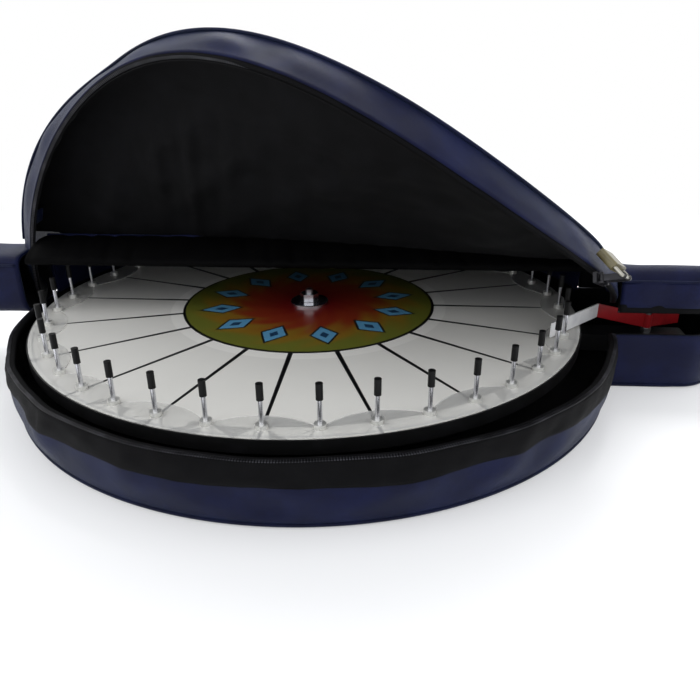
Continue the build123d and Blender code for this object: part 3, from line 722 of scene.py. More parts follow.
@dataclass(frozen=True)
class CentrePrint:
    """Round print: olive rim running to a red middle, with streaks and a ring of pale diamonds."""

    name: str = "printed_centre"
    face: WheelFace = field(default_factory=WheelFace)
    diamonds: int = 12
    diamond_ring: float = 0.132
    slimness: float = 0.62
    rim: float = 0.1835

    def material(self) -> bpy.types.Material:
        """Build the material.

        Returns:
            The material, on Object coordinates.
        """
        g = Graph(bpy.data.materials.new(self.name))
        radius, angle = self.face.polar(g)
        place = g.place()
        swirl = g.math("ADD", angle, g.math("MULTIPLY", radius, 9.0))
        wobble = g.math("MULTIPLY", g.noise(place, scale=14.0, detail=4.0), 7.0)
        streak = g.math("SINE", g.math("ADD", g.math("MULTIPLY", swirl, 14.0), wobble))
        reach = g.math("ADD", radius, g.math("MULTIPLY", streak, 0.010))
        colour = rgb(118, 17, 20)
        for low, high, further in ((0.020, 0.085, rgb(134, 46, 24)), (0.085, 0.135, rgb(138, 104, 32)),
                                   (0.130, 0.175, rgb(108, 112, 42))):
            colour = g.blend(g.step(reach, low, high), colour, further)
        pitch = 2 * math.pi / self.diamonds
        across = g.off_ray(g.math("DIVIDE", angle, pitch), pitch, radius)
        along = g.math("ABSOLUTE", g.math("SUBTRACT", radius, self.diamond_ring))
        size = g.math("ADD", across, g.math("MULTIPLY", along, self.slimness))
        for low, high, inside in ((0.0200, 0.0215, rgb(28, 26, 24)), (0.0165, 0.0180, rgb(96, 158, 196)),
                                  (0.0060, 0.0072, rgb(34, 66, 98))):
            colour = g.blend(g.within(size, low, high), colour, inside)
        rim = g.step(radius, self.rim, self.rim + 0.001)
        g.feed({"Base Color": g.blend(rim, colour, rgb(16, 16, 16)), "Roughness": 0.3, "Coat Weight": 0.25})
        g.bump(g.noise(place, scale=120.0, detail=2.0), strength=0.02, distance=0.0004)
        return g.holder


@dataclass(frozen=True)
class ClearSheet:
    """Clear plastic with a faint grey tone."""

    name: str = "clear_plastic"
    cover: float = 0.36

    def material(self) -> bpy.types.Material:
        """Build the material.

        Returns:
            The material, on Object coordinates.
        """
        g = Graph(bpy.data.materials.new(self.name))
        place = g.place()
        haze = g.blend(g.noise(place, scale=30.0, detail=3.0), rgb(250, 249, 246), rgb(253, 253, 251))
        g.feed({"Base Color": haze, "Roughness": 0.18, "Alpha": self.cover})
        g.bump(g.noise(place, scale=60.0, detail=2.0), strength=0.03, distance=0.0005)
        return g.holder


@dataclass
class Finishes:
    """Every material of the scene by its name, which for most is its slot in the record."""

    made: dict[str, bpy.types.Material] = field(default_factory=dict)
    # the peg flanges get a lighter copy of chrome whose whiteness is a painted reflection
    special: tuple[tuple[str, str], ...] = (("peg_flanges", "satin_chrome"),)

    def __post_init__(self) -> None:
        """Build the materials."""
        blue = (0.45, 0.66, 1.0, 1.0)
        for finish in (
            Cloth("navy_cloth", rgb(14, 17, 44), rgb(20, 25, 60), sheen=0.05, sheen_tint=blue,
                  roughness=0.40, gloss=0.09),
            Cloth("navy_piping", rgb(13, 16, 40), rgb(20, 25, 56), thread=0.0009, sheen=0.08,
                  sheen_tint=blue, roughness=0.5, gloss=0.1, wrinkle=0.1),
            Cloth("black_lining", rgb(7, 7, 9), rgb(13, 13, 16), thread=0.0008, sheen=0.02,
                  roughness=0.58, gloss=0.10, wrinkle=0.5),
            Cloth("black_zip_tape", rgb(7, 7, 9), rgb(12, 12, 14), thread=0.0013, sheen=0.0, gloss=0.07,
                  wrinkle=0.12),
            # painted shade: the fold strip's lining is a darker copy of black_lining, standing in for the
            # shadow under the raised lid
            Cloth("strip_lining", rgb(3, 3, 4), rgb(6, 6, 7), thread=0.0008, sheen=0.0, roughness=0.62,
                  gloss=0.04, wrinkle=0.4),
            Solid("foam", rgb(52, 52, 56), rgb(60, 60, 64), roughness=0.9, bump=0.4),
            Solid("black_steel", rgb(20, 20, 22), rgb(30, 30, 33), roughness=0.42),
            Solid("black_plastic", rgb(13, 13, 14), rgb(20, 20, 22), roughness=0.42, gloss=0.3),
            Solid("steel", rgb(176, 176, 180), rgb(150, 150, 156), roughness=0.33, metallic=1.0),
            Solid("chrome", rgb(214, 215, 220), rgb(190, 191, 198), roughness=0.26, metallic=1.0,
                  bump=0.004, wear=0.05),
            Solid("black_rubber", rgb(7, 7, 8), rgb(13, 13, 14), roughness=0.46, bump=0.12, gloss=0.22),
            Solid("red_plastic", rgb(168, 22, 30), rgb(142, 16, 24), roughness=0.38, coat=0.2),
            Solid("white_plastic", rgb(236, 236, 236), rgb(222, 222, 224), roughness=0.36, coat=0.2),
            # painted reflection: lighter, partly diffuse copy of chrome for the peg flanges, standing in for
            # their white glints
            Solid("satin_chrome", rgb(226, 226, 222), rgb(238, 238, 235), roughness=0.38, metallic=0.7,
                  bump=0.004, wear=0.05),
            Solid("zip_metal", rgb(38, 38, 42), rgb(70, 70, 76), roughness=0.36, metallic=0.6),
            Solid("shackle_steel", rgb(170, 168, 160), rgb(128, 126, 118), roughness=0.3, metallic=1.0),
            Solid("padlock_enamel", rgb(98, 90, 58), rgb(80, 72, 44), roughness=0.36, coat=0.3),
            WheelFace(),
            CentrePrint(),
            ClearSheet(),
        ):
            self.made[finish.name] = finish.material()

    def __getitem__(self, name: str) -> bpy.types.Material:
        """Material of a name."""
        return self.made[name]

    def dress_nodes(self) -> None:
        """Put its material on every carried CAD node."""
        for part in frame["record"]["subparts"]:
            node = frame["nodes"][part["node"]]
            node.data.materials.clear()
            chosen = dict(self.special).get(part["node"], part["material_slot"])
            node.data.materials.append(self.made[chosen])


# zip teeth


@dataclass(frozen=True)
class ToothRow:
    """Row of zip teeth that Geometry Nodes set along a path."""

    width: float = 0.0040
    length: float = 0.0014
    height: float = 0.0013
    pitch: float = 0.0028

    def tree(self) -> bpy.types.GeometryNodeTree:
        """Build the node tree: resample the path, put a tooth at each point, realize.

        Returns:
            The tree, with inputs for the path, the sizes and the material.
        """
        tree = bpy.data.node_groups.new("zip_tooth_row", "GeometryNodeTree")
        face = tree.interface
        face.new_socket("Path", in_out="INPUT", socket_type="NodeSocketGeometry")
        for name, value in (("Pitch", self.pitch), ("Width", self.width), ("Length", self.length),
                            ("Height", self.height)):
            face.new_socket(name, in_out="INPUT", socket_type="NodeSocketFloat").default_value = value
        face.new_socket("Finish", in_out="INPUT", socket_type="NodeSocketMaterial")
        face.new_socket("Teeth", in_out="OUTPUT", socket_type="NodeSocketGeometry")
        nodes, links = tree.nodes, tree.links
        source, target = nodes.new("NodeGroupInput"), nodes.new("NodeGroupOutput")
        curve = nodes.new("GeometryNodeMeshToCurve")
        sample = nodes.new("GeometryNodeResampleCurve")
        sample.mode = "LENGTH"
        size = nodes.new("ShaderNodeCombineXYZ")
        tooth = nodes.new("GeometryNodeMeshCube")
        place = nodes.new("GeometryNodeInstanceOnPoints")
        tangent = nodes.new("GeometryNodeInputTangent")
        align = nodes.new("FunctionNodeAlignRotationToVector")
        align.axis = "X"
        align.pivot_axis = "Z"
        real = nodes.new("GeometryNodeRealizeInstances")
        paint = nodes.new("GeometryNodeSetMaterial")
        for start, end in (
            (source.outputs["Path"], curve.inputs[0]), (curve.outputs[0], sample.inputs["Curve"]),
            (source.outputs["Pitch"], sample.inputs["Length"]), (source.outputs["Length"], size.inputs[0]),
            (source.outputs["Width"], size.inputs[1]), (source.outputs["Height"], size.inputs[2]),
            (size.outputs[0], tooth.inputs["Size"]), (sample.outputs[0], place.inputs["Points"]),
            (tooth.outputs["Mesh"], place.inputs["Instance"]), (tangent.outputs[0], align.inputs["Vector"]),
            (align.outputs[0], place.inputs["Rotation"]), (place.outputs[0], real.inputs[0]),
            (real.outputs[0], paint.inputs["Geometry"]), (source.outputs["Finish"], paint.inputs["Material"]),
            (paint.outputs[0], target.inputs[0]),
        ):
            links.new(start, end)
        return tree

    def lay(self, name: str, path: Array, finish: bpy.types.Material) -> bpy.types.Object:
        """Lay the row along a path and return it as a plain mesh.

        Args:
            name: Name of the piece.
            path: Points (n, 3) of the row's middle line.
            finish: The teeth's material.

        Returns:
            The linked object, without its modifier.
        """
        mesh = bpy.data.meshes.new(name)
        mesh.from_pydata(path.tolist(), [(i, i + 1) for i in range(len(path) - 1)], [])
        piece = bpy.data.objects.new(name, mesh)
        bpy.context.scene.collection.objects.link(piece)
        tree = bpy.data.node_groups.get("zip_tooth_row") or self.tree()
        row = piece.modifiers.new("teeth", "NODES")
        row.node_group = tree
        for item in tree.interface.items_tree:
            if getattr(item, "in_out", "") == "INPUT" and item.name == "Finish":
                row[item.identifier] = finish
        bpy.context.view_layer.update()
        solid = bpy.data.meshes.new_from_object(piece.evaluated_get(bpy.context.evaluated_depsgraph_get()))
        piece.modifiers.clear()
        piece.data = solid
        solid.materials.clear()
        solid.materials.append(finish)
        return piece


# the bag


@dataclass
class Base:
    """Lower half of the bag: padded wall and floor, lining, zip tape and piping."""

    finishes: Finishes
    plan: BagPlan = field(default_factory=BagPlan)
    mouth: float = MOUTH
    wall: float = 0.0040
    lining: float = 0.0015
    floor_bottom: float = 0.0004
    lowest: float = 0.0003
    floor_top: float = 0.009
    corner: float = 0.012
    inner_corner: float = 0.010
    tape_height: float = 0.027
    tape_swell: float = 0.0012
    lean_right: float = 0.008
    lean_front: float = 0.003
    fold_y: float = FOLD_Y

    def splay(self, points: Array, height: Array) -> Array:
        """How far the slack wall leans outwards.

        Args:
            points: Plan points (n, 2) of the outline.
            height: Heights (m), in metres.

        Returns:
            Distances (m, n), in metres.
        """
        angle = np.arctan2(points[:, 1], points[:, 0])[None, :]
        right = np.exp(-((angle + 0.75) / 0.45) ** 2) * self.lean_right
        lean = right + np.exp(-((angle + 1.9) / 0.5) ** 2) * self.lean_front
        rise = np.clip(height / self.mouth, 0, 1)[:, None]
        return lean * rise**2

    def bulge(self, along: Array, height: float) -> Array:
        """How far the padded wall swells and waves outwards at a height.

        Args:
            along: Length along the outline, in metres.
            height: Height, in metres.

        Returns:
            Distances in the shape of along.
        """
        share = min(max((height - self.corner) / (self.mouth - self.corner), 0.0), 1.0)
        level = np.full(len(along), height)
        wave = 0.0034 * ripple(along, level, seed=3, scale=0.13)
        wave = wave + 0.0012 * ripple(along, level, seed=4, scale=0.05)
        return 0.0040 * math.sin(math.pi * share) + math.sin(math.pi * min(share, 0.90)) * wave

    def wall_grid(self) -> Array:
        """Draw the outer face of the floor and the wall.

        Returns:
            The grid (rows, columns, 3), from the middle of the floor up to the mouth.
        """
        points, normals = self.plan.outline()
        along = np.arange(len(points)) * OUTLINE_STEP
        still = np.zeros(len(points))
        rows = [(points * share, self.floor_bottom, still) for share in (0.004, 0.25, 0.5, 0.75, 0.92, 0.965)]
        for turn in np.linspace(0, math.pi / 2, 6):
            rows.append((points - normals * self.corner * (1 - math.sin(turn)),
                         self.floor_bottom + self.corner * (1 - math.cos(turn)), still))
        for height in np.linspace(self.corner + 0.006, self.mouth, 15):
            rows.append((points, height, self.bulge(along, height)))
        flat, heights, swell = (np.array(column) for column in zip(*rows))
        flat = flat + swell[..., None] * normals[None]
        flat = flat + self.splay(points, heights)[..., None] * normals[None]
        return np.array([at_height(row, height) for row, height in zip(flat, heights)])

    def zip_columns(self, points: Array) -> Array:
        """Find the outline points along which the zip runs on the round part.

        Args:
            points: Plan points (n, 2) of the outline.

        Returns:
            Their indices, in the order of their angles.
        """
        angle = np.degrees(np.arctan2(points[:, 1], points[:, 0])) % 360
        radius = np.linalg.norm(points, axis=1)
        low = 180 + math.degrees(math.asin(-self.fold_y / self.plan.radius))
        high = 360 - math.degrees(math.asin(self.plan.arm_half / self.plan.radius))
        chosen = np.where((radius < self.plan.radius + 1e-4) & (angle > low) & (angle < high + 0.1))[0]
        return chosen[np.argsort(angle[chosen])]

    def build(self) -> None:
        """Make every piece of the base."""
        self.build_shell()
        self.build_lining()
        self.build_tape()
        self.build_piping()

    def off_floor(self, points: Array) -> Array:
        """Points (n, 3) kept just above what the bag stands on."""
        return np.maximum(points, (-np.inf, -np.inf, self.lowest))

    def build_shell(self) -> None:
        """Padded floor and wall."""
        grid = self.wall_grid()
        shell = cloth_shell("base_shell", grid, self.finishes["navy_cloth"], thickness=self.wall, wrap=True)
        reshape(shell, self.off_floor)
        settle(shell, Body.BAG, "navy_cloth", "base_wall", "base_floor")

    def build_lining(self) -> None:
        """Lining of the wall, in folds, and of the floor."""
        points, normals = self.plan.outline()
        along = np.arange(len(points)) * OUTLINE_STEP
        inset = self.wall + self.lining
        rows = []
        for height in np.linspace(self.mouth + 0.0004, self.floor_top + 0.012, 14):
            share = (height - self.floor_top) / self.mouth
            level = np.full(len(along), height)
            folds = 0.0024 * crease(along, level, seed=21, spacing=0.045, heading=0.2)
            folds = folds * math.sin(math.pi * share)
            lean = self.splay(points, np.array([height]))[0]
            rows.append(at_height(points - normals * (inset - 0.0012 + folds - lean)[:, None], height))
        for turn in np.linspace(0.2, math.pi / 2, 4):
            height = self.floor_top + 0.011 - self.inner_corner * math.sin(turn)
            reach = inset + self.inner_corner * (1 - math.cos(turn))
            rows.append(at_height(points - normals * reach, height))
        for share in (0.95, 0.85, 0.6, 0.3, 0.004):
            rows.append(at_height(points * share, self.floor_top + 0.0008))
        inner = np.array(rows)
        lining = cloth_shell("base_lining_cloth", inner, self.finishes["black_lining"], thickness=0.0011,
                             wrap=True)
        settle(lining, Body.BAG, "black_lining", "base_lining")

    def build_tape(self) -> None:
        """Zip tape: a band on the outside of the mouth that is turned over its edge, and its teeth."""
        points, normals = self.plan.outline()
        columns = self.zip_columns(points)
        p, n = points[columns], normals[columns]
        along = columns * OUTLINE_STEP
        each = np.arange(len(columns))
        levels = np.linspace(self.mouth - self.tape_height, self.mouth, 8)
        lean = self.splay(points, levels)[:, columns]
        bulges = np.stack([self.bulge(along, level) for level in levels])
        # the band is narrower towards its left end
        from_left = np.degrees(np.arctan2(p[:, 1], p[:, 0])) % 360 - 180
        tall = 0.45 + 0.55 * smooth((from_left - 12) / 48)
        tall = tall + 0.06 * ripple(along, along * 0, seed=6, scale=0.09)
        rows = []
        for height in levels:
            share = (self.mouth - height) / self.tape_height
            waves = 0.0009 * ripple(along, along * 0 + height, seed=5, scale=0.04)
            puff = 0.0018 + 0.0012 * math.sin(math.pi * share) + waves
            at = self.mouth - (self.mouth - height) * tall
            place = np.searchsorted(levels, at).clip(0, len(levels) - 1)
            reach = puff + bulges[place, each] + lean[place, each]
            rows.append(at_height(p + n * reach[:, None], at))
        edge = lean[-1] + bulges[-1]
        reach = (self.wall + self.lining) / 2 + 0.0010
        for turn in np.linspace(0.5, math.pi, 5):
            over = edge - reach + (reach + self.tape_swell) * math.cos(turn)
            rows.append(at_height(p + n * over[:, None], self.mouth + 0.0016 * math.sin(turn)))
        rows.append(at_height(p + n * (edge - 2 * reach - 0.0010)[:, None], self.mouth - 0.009))
        grid = np.array(rows)
        tape = cloth_shell("base_tape_band", grid, self.finishes["black_zip_tape"], thickness=0.0011)
        settle(tape, Body.BAG, "black_zip_tape", "base_zip_tape")
        crest = at_height(p + n * (edge - 0.0005)[:, None], self.mouth + 0.0016)
        teeth = ToothRow().lay("base_zip_teeth", crest, self.finishes["zip_metal"])
        settle(teeth, Body.BAG, "zip_metal")

    def build_piping(self) -> None:
        """Piping round the foot of the wall."""
        points, normals = self.plan.outline()
        path = at_height(points - normals * 0.0026, 0.0036)
        cord = tube("base_piping_cord", path, PIPING_RADIUS, self.finishes["navy_piping"], closed=True)
        settle(cord, Body.BAG, "navy_piping", "bag_piping")


@dataclass
class RearTop:
    """Closed back half of the top, with the roll of cloth over the fold line."""

    finishes: Finishes
    radius: float = BAG_RADIUS
    mouth: float = MOUTH
    top: float = TOP
    fold_y: float = FOLD_Y
    panel_half: float = 0.4195
    gusset_start: float = 0.090
    gusset_end: float = 174.9
    roll: float = 0.104
    roll_end: float = 0.399
    front_angle: float = 57.0
    back_angle: float = 141.3
    gore_reach: float = 0.0995
    left_gore: Pair = (-0.3985, 0.157)
    right_gore: Pair = (0.4290, 0.113)

    def on_roll(self, x: Array, degrees_over: float, reach: Array) -> Array:
        """Points on the roll: the angle runs from the front, upwards and over."""
        turn = math.radians(degrees_over)
        return np.stack([x, self.fold_y - reach * math.cos(turn), self.mouth + reach * math.sin(turn)], -1)

    def build(self) -> None:
        """Make every piece of the rear top."""
        self.build_top()
        self.build_lining()
        self.build_gusset()
        self.build_strip()
        self.build_gores()

    def span(self) -> tuple[Array, Array, float]:
        """Where the top panel lies.

        Returns:
            The X of its columns, the Y of its back edge at each, and the Y of its seam with the roll.
        """
        x = np.linspace(-self.panel_half, self.panel_half, 150)
        seam = self.fold_y + math.sqrt(self.roll**2 - (self.top - self.mouth) ** 2)
        return x, np.sqrt(self.radius**2 - x**2), seam

    def build_top(self) -> None:
        """Top panel from the back edge up over the roll, with a soft rounded edge and slack."""
        x, edge, seam = self.span()
        rows = []
        for share in np.concatenate([[0.0, 0.004, 0.012, 0.025], np.linspace(0.05, 1.0, 34)]):
            y = edge + (seam - edge) * share
            from_edge = edge - y
            dip = 0.012 * np.exp(-from_edge / 0.012)
            hem = 0.002 * (dip > 1e-4)
            crown = 0.006 * (1 - np.exp(-from_edge / 0.05)) * np.clip((y - seam) / 0.10, 0, 1)
            slack = 0.0035 * ripple(x, y, seed=41, scale=0.20) * np.clip(from_edge / 0.05, 0, 1)
            slack = slack * np.clip((y - seam) / 0.05, 0, 1)
            rows.append(np.stack([x, y, self.top - 0.0006 - dip + crown * 0.6 + slack - hem], -1))
        for turn in np.linspace(self.back_angle - 2.0, 98.0, 16):
            swell = 0.0012 * ripple(x, np.full_like(x, math.radians(turn) * self.roll), seed=42, scale=0.09)
            low = 1.0 - (1.0 - roll_share(x)) * min((self.back_angle - turn) / 20.0, 1.0)
            row = self.on_roll(x, turn, (self.roll - 0.0003 + np.minimum(swell, 0.0)) * low)
            limit = np.sqrt(np.maximum(self.radius**2 - row[:, 1] ** 2, 0)) - 0.001
            row[:, 0] = np.clip(x, -np.minimum(limit, self.roll_end), limit)
            rows.append(row)
        cover = cloth_shell("rear_top_cloth", np.array(rows), self.finishes["navy_cloth"], thickness=0.0040)
        settle(cover, Body.BAG, "navy_cloth", "rear_cover")

    def build_lining(self) -> None:
        """Lining that sags in folds under the top panel."""
        x, edge, seam = self.span()
        rows = []
        for share in np.linspace(0.012, 0.96, 22):
            y = (edge - 0.006) + (seam + 0.006 - edge) * share
            sag = 0.004 * crease(x, y, seed=43, spacing=0.07, heading=1.1) * np.clip((edge - y) / 0.04, 0, 1)
            dip = 0.010 * np.exp(-(edge - y) / 0.012)
            rows.append(np.stack([x * 0.985, y, self.top - 0.0062 - sag - dip], -1))
        grid = np.array(rows)
        under = cloth_shell("rear_lining_cloth", grid, self.finishes["black_lining"], thickness=0.0010)
        settle(under, Body.BAG, "black_lining", "rear_lining")

    def build_gusset(self) -> None:
        """Upright band round the back, with the piping along its two seams."""
        start = math.asin(self.gusset_start / self.radius)
        turn = np.radians(np.linspace(math.degrees(start), self.gusset_end, 260))
        along = turn * self.radius
        rows = []
        for height in np.linspace(self.mouth + 0.0006, self.top - 0.0105, 10):
            share = (height - self.mouth) / (self.top - self.mouth)
            waves = 0.0016 * ripple(along, along * 0 + height, seed=45, scale=0.09)
            puff = 0.0026 * math.sin(math.pi * share) + waves
            reach = self.radius + puff * math.sin(math.pi * min(max(share, 0.06), 0.94))
            rows.append(round_row(reach, turn, height))
        band = cloth_shell("rear_gusset_cloth", np.array(rows), self.finishes["navy_cloth"], thickness=0.0050)
        settle(band, Body.BAG, "navy_cloth", "rear_gusset")
        for name, height, proud in (("rear_piping_cord", self.top - 0.0115, 0.0014),
                                    ("rear_seam_cord", self.mouth + 0.0005, 0.0008)):
            path = round_row(self.radius + proud, turn, height)
            cord = tube(name, path, PIPING_RADIUS, self.finishes["navy_piping"], closed=False)
            settle(cord, Body.BAG, "navy_piping", "bag_piping")

    def build_strip(self) -> None:
        """Lining gathered on the front of the roll, seen under the raised lid, in a darker copy of the lining
        whose colour paints the lid's shade on it.
        """
        x = np.linspace(-self.roll_end, self.roll_end, 220)
        rows = []
        for turn in np.linspace(97.0, self.front_angle, 16):
            over = np.full_like(x, math.radians(turn) * self.roll)
            fold = crease(x, over, seed=47, spacing=0.038, heading=0.15)
            rows.append(self.on_roll(x, turn, (self.roll - 0.0006 - 0.0026 * fold) * roll_share(x)))
        for depth in (0.002, 0.006):
            rows.append(self.on_roll(x, self.front_angle - 0.4, (self.roll - depth) * roll_share(x)))
        grid = np.array(rows)
        # the strip's darker lining finish is painted shade under the raised lid
        strip = cloth_shell("fold_strip_cloth", grid, self.finishes["strip_lining"], thickness=0.0030)
        settle(strip, Body.BAG, "black_lining", "fold_strip")

    def gore_row(self, share: float, foot: float, turn: Array, reach: float) -> tuple[Array, Array]:
        """Points between the foot of a gore and the roll.

        Args:
            share: 0 at the foot and 1 at the roll.
            foot: Height of the foot, in metres.
            turn: Angles over the roll, in radians.
            reach: Radius of the gore's edge.

        Returns:
            The Y and the Z of the points.
        """
        rise = np.maximum(self.mouth + reach * np.sin(turn), foot) - foot
        return self.fold_y - reach * np.cos(turn), foot + rise * share

    def build_gores(self) -> None:
        """Cloth that closes the two ends of the roll."""
        shares = np.linspace(0.0, 1.0, 12)
        x, left_foot = self.left_gore
        turn = np.radians(np.linspace(self.front_angle + 3, 176, 40))
        left = []
        for share in shares:
            y, z = self.gore_row(share, left_foot, turn, self.gore_reach)
            left.append(np.stack([x + 0.0015 * np.sin(share * math.pi) * np.sin(turn * 9), y, z], -1))
        radius, right_foot = self.right_gore
        turn = np.radians(np.linspace(91, 140, 40))
        right = []
        for share in shares:
            y, z = self.gore_row(share, right_foot, turn, self.gore_reach * float(roll_share(0.42)))
            right.append(np.stack([np.sqrt(radius**2 - y**2), y, z], -1))
        left_grid, right_grid = np.array(left)[:, ::-1], np.array(right)
        for name, grid in (("gore_left_cloth", left_grid), ("gore_right_cloth", right_grid)):
            gore = cloth_shell(name, grid, self.finishes["navy_cloth"], thickness=0.0026)
            settle(gore, Body.BAG, "navy_cloth", "fold_caps")


@dataclass
class Lid:
    """Front half of the lid, drawn closed and folded up with a twist."""

    finishes: Finishes
    fold: FoldTwist = field(default_factory=FoldTwist)
    radius: float = BAG_RADIUS
    mouth: float = MOUTH
    top: float = TOP
    tail_radius: float = 0.1085
    tape: float = 0.010
    panel_half: float = 0.4105
    arm_half: float = ARM_HALF
    hem: float = 0.0072
    flare: float = 0.036
    lean: float = 0.014

    def __post_init__(self) -> None:
        """Work out where the tail of the panel begins."""
        rise = self.top - self.mouth
        self.root_y = self.fold.y - math.sqrt(self.tail_radius**2 - rise**2)
        self.root_angle = math.degrees(math.asin(rise / self.tail_radius))

    def drape(self, points: Array) -> Array:
        """Let the closed lid's band flare at its left end and lean in at its right, then fold the lid up.

        Args:
            points: Array (..., 3) drawn on the closed lid.

        Returns:
            The opened points, in the same shape.
        """
        radius = np.maximum(np.hypot(points[..., 0], points[..., 1]), 1e-6)
        left = smooth((-0.22 - points[..., 0]) / 0.19)
        right = smooth((points[..., 0] - 0.10) / 0.25) * smooth((-0.10 - points[..., 1]) / 0.10)
        rise = smooth((points[..., 2] - self.mouth) / (self.top - self.mouth))
        past_fold = np.clip((self.fold.y + 0.02 - points[..., 1]) / 0.05, 0.35, 1.0)
        near = smooth((radius - 0.29) / 0.13) * past_fold
        push = (self.flare * left - self.lean * right) * rise * near
        out = points.copy()
        out[..., 0] += points[..., 0] / radius * push
        out[..., 1] += points[..., 1] / radius * push
        return self.fold.open_up(out)

    def slack(self, x: Array, y: Array) -> Array:
        """Height of the panel's waves over its flat cut, the same for the cloth and its lining.

        Args:
            x: X of each point, in metres.
            y: Y of each point, in metres.

        Returns:
            Heights, which stay above 0 over the pegs.
        """
        edge = -np.sqrt(self.radius**2 - np.minimum(np.abs(x), self.radius) ** 2)
        ends = np.clip((self.root_y - y) / 0.06, 0, 1) * np.clip((y - edge) / 0.05, 0, 1)
        broad, fine = ripple(x, y, seed=51, scale=0.22), ripple(x, y, seed=52, scale=0.08)
        waves = (0.0050 * broad + 0.0020 * fine) * ends
        pegs = np.exp(-(off_pegs(x, y) / 0.035) ** 2)
        return waves + (np.maximum(waves, 0.0) + 0.0012 - waves) * pegs

    def nodes(self, kind: str) -> list[str]:
        """The three CAD sectors of one layer."""
        return [f"lid_{side}_{kind}" for side in ("left", "middle", "right")]

    def build(self) -> None:
        """Make every piece of the lid."""
        self.build_panel()
        self.build_gusset()
        self.build_lining()
        self.build_rim()

    def tail_span(self, x: Array) -> Array:
        """Degrees of cloth behind the root that slide over the roll."""
        return np.clip(141.0 - self.root_angle - np.degrees(self.fold.angle(x)), 23.0, 50.0)

    def panel_rows(self, x: Array) -> Array:
        """Draw the closed top panel and its tail.

        Args:
            x: X of each column, in metres.

        Returns:
            The grid (rows, columns, 3), from the edge seam to the end of the tail.
        """
        edge = -np.sqrt(self.radius**2 - x**2)
        root = math.radians(self.root_angle)
        rows = []
        for share in np.concatenate([[0.0, 0.006, 0.016, 0.032], np.linspace(0.06, 1.0, 40)]):
            y = edge + (self.root_y - edge) * share
            dip = 0.013 * np.exp(-(y - edge) / 0.011)
            less = (1.0 - roll_share(x)) * self.tail_radius * smooth((y - self.root_y + 0.05) / 0.05)
            height = self.top - 0.0008 - dip + self.slack(x, y)
            rows.append(np.stack([x, y + less * math.cos(root), height - less * math.sin(root)], -1))
        for share in np.linspace(0.0, 1.0, 14)[1:]:
            turn = np.radians(self.root_angle + self.tail_span(x) * share)
            reach = (self.tail_radius - 0.0004) * roll_share(x)
            y = self.fold.y - reach * np.cos(turn)
            limit = np.sqrt(np.maximum(self.radius**2 - y**2, 0)) - 0.001
            widened = x * np.maximum(limit / self.panel_half, 1.0)
            rows.append(np.stack([widened, y, self.mouth + reach * np.sin(turn)], -1))
        return np.array(rows)

    def build_panel(self) -> None:
        """Top panel with its rounded edge."""
        x = np.linspace(-self.panel_half, self.panel_half, 190)
        grid = self.drape(self.panel_rows(x))
        panel = cloth_shell("lid_top_cloth", grid, self.finishes["navy_cloth"], thickness=0.0036)
        settle(panel, self.fold, "navy_cloth", *self.nodes("panel"))

    def rim_turns(self, count: int = 300) -> Array:
        """Angles of the rim from the left end of the fold to the root of the long arm.

        Args:
            count: How many.

        Returns:
            The angles, in radians.
        """
        first = math.pi + math.asin(-self.fold.y / self.radius) + 0.002
        last = 2 * math.pi - math.asin(self.arm_half / self.radius)
        return np.linspace(first, last, count)

    def band(self, low: float, high: float, rows: int,
             reach: Callable[[Array, float, float], Array]) -> Array:
        """Closed upright band along the rim.

        Args:
            low: Lower height.
            high: Upper height.
            rows: Number of rows.
            reach: Gives the radius from the length along the rim, the height and its share.

        Returns:
            The grid of the band's outer face, folded up.
        """
        turn = self.rim_turns()
        grid = []
        for height in np.linspace(low, high, rows):
            share = (height - low) / max(high - low, 1e-9)
            grid.append(round_row(reach(turn * self.radius, height, share), turn, height))
        return self.drape(np.array(grid))

    def gusset_reach(self, along: Array, height: float, share: float) -> Array:
        """Radius of the band's padded cloth, which swells between its seams.

        Args:
            along: Length along the rim, in metres.
            height: Height on the closed lid.
            share: Share of the band's height.

        Returns:
            The radius at each point.
        """
        body = math.sin(math.pi * share)
        hem = 0.0022 * math.exp(-share / 0.20)
        free = 0.0022 * body * float(smooth(np.array(share / 0.45)))
        waves = free * ripple(along, along * 0 + height, seed=55, scale=0.10)
        return self.radius + hem + 0.003 * body + waves

    def lining_reach(self, along: Array, height: float, share: float) -> Array:
        """Radius of the band's lining, which hangs in folds.

        Args:
            along: Length along the rim, in metres.
            height: Height on the closed lid.
            share: Share of the band's height.

        Returns:
            The radius at each point.
        """
        folds = crease(along, along * 0 + height, seed=67, spacing=0.05, heading=0.3)
        return self.radius - 0.0052 - 0.0030 * math.sin(math.pi * share) * folds

    def tape_reach(self, along: Array, _height: float, share: float) -> Array:
        """Radius of the zip tape, whose upper part lies under the padded cloth.

        Args:
            along: Length along the rim, in metres.
            _height: Height on the closed lid, which makes no difference here.
            share: Share of the tape's height.

        Returns:
            The radius at each point.
        """
        under = float(smooth(np.array((share - 0.25) / 0.45)))
        waves = 0.0006 * (1 - under) * ripple(along, along * 0, seed=71, scale=0.06)
        return self.radius + 0.0008 - 0.0014 * under + waves

    def build_gusset(self) -> None:
        """Upright band of the lid, with the piping along its upper seam."""
        grid = self.band(self.mouth + self.hem, self.top - 0.0120, 12, self.gusset_reach)
        gusset = cloth_shell("lid_gusset_cloth", grid, self.finishes["navy_cloth"], thickness=0.0040)
        settle(gusset, self.fold, "navy_cloth", *self.nodes("gusset"))
        turn = self.rim_turns()
        turn = turn[np.abs(self.radius * np.cos(turn)) < self.panel_half + 0.004]
        path = self.drape(round_row(self.radius + 0.0014, turn, self.top - 0.0122))
        cord = tube("lid_piping_cord", path, PIPING_RADIUS, self.finishes["navy_piping"], closed=False)
        settle(cord, self.fold, "navy_piping", *self.nodes("piping"))

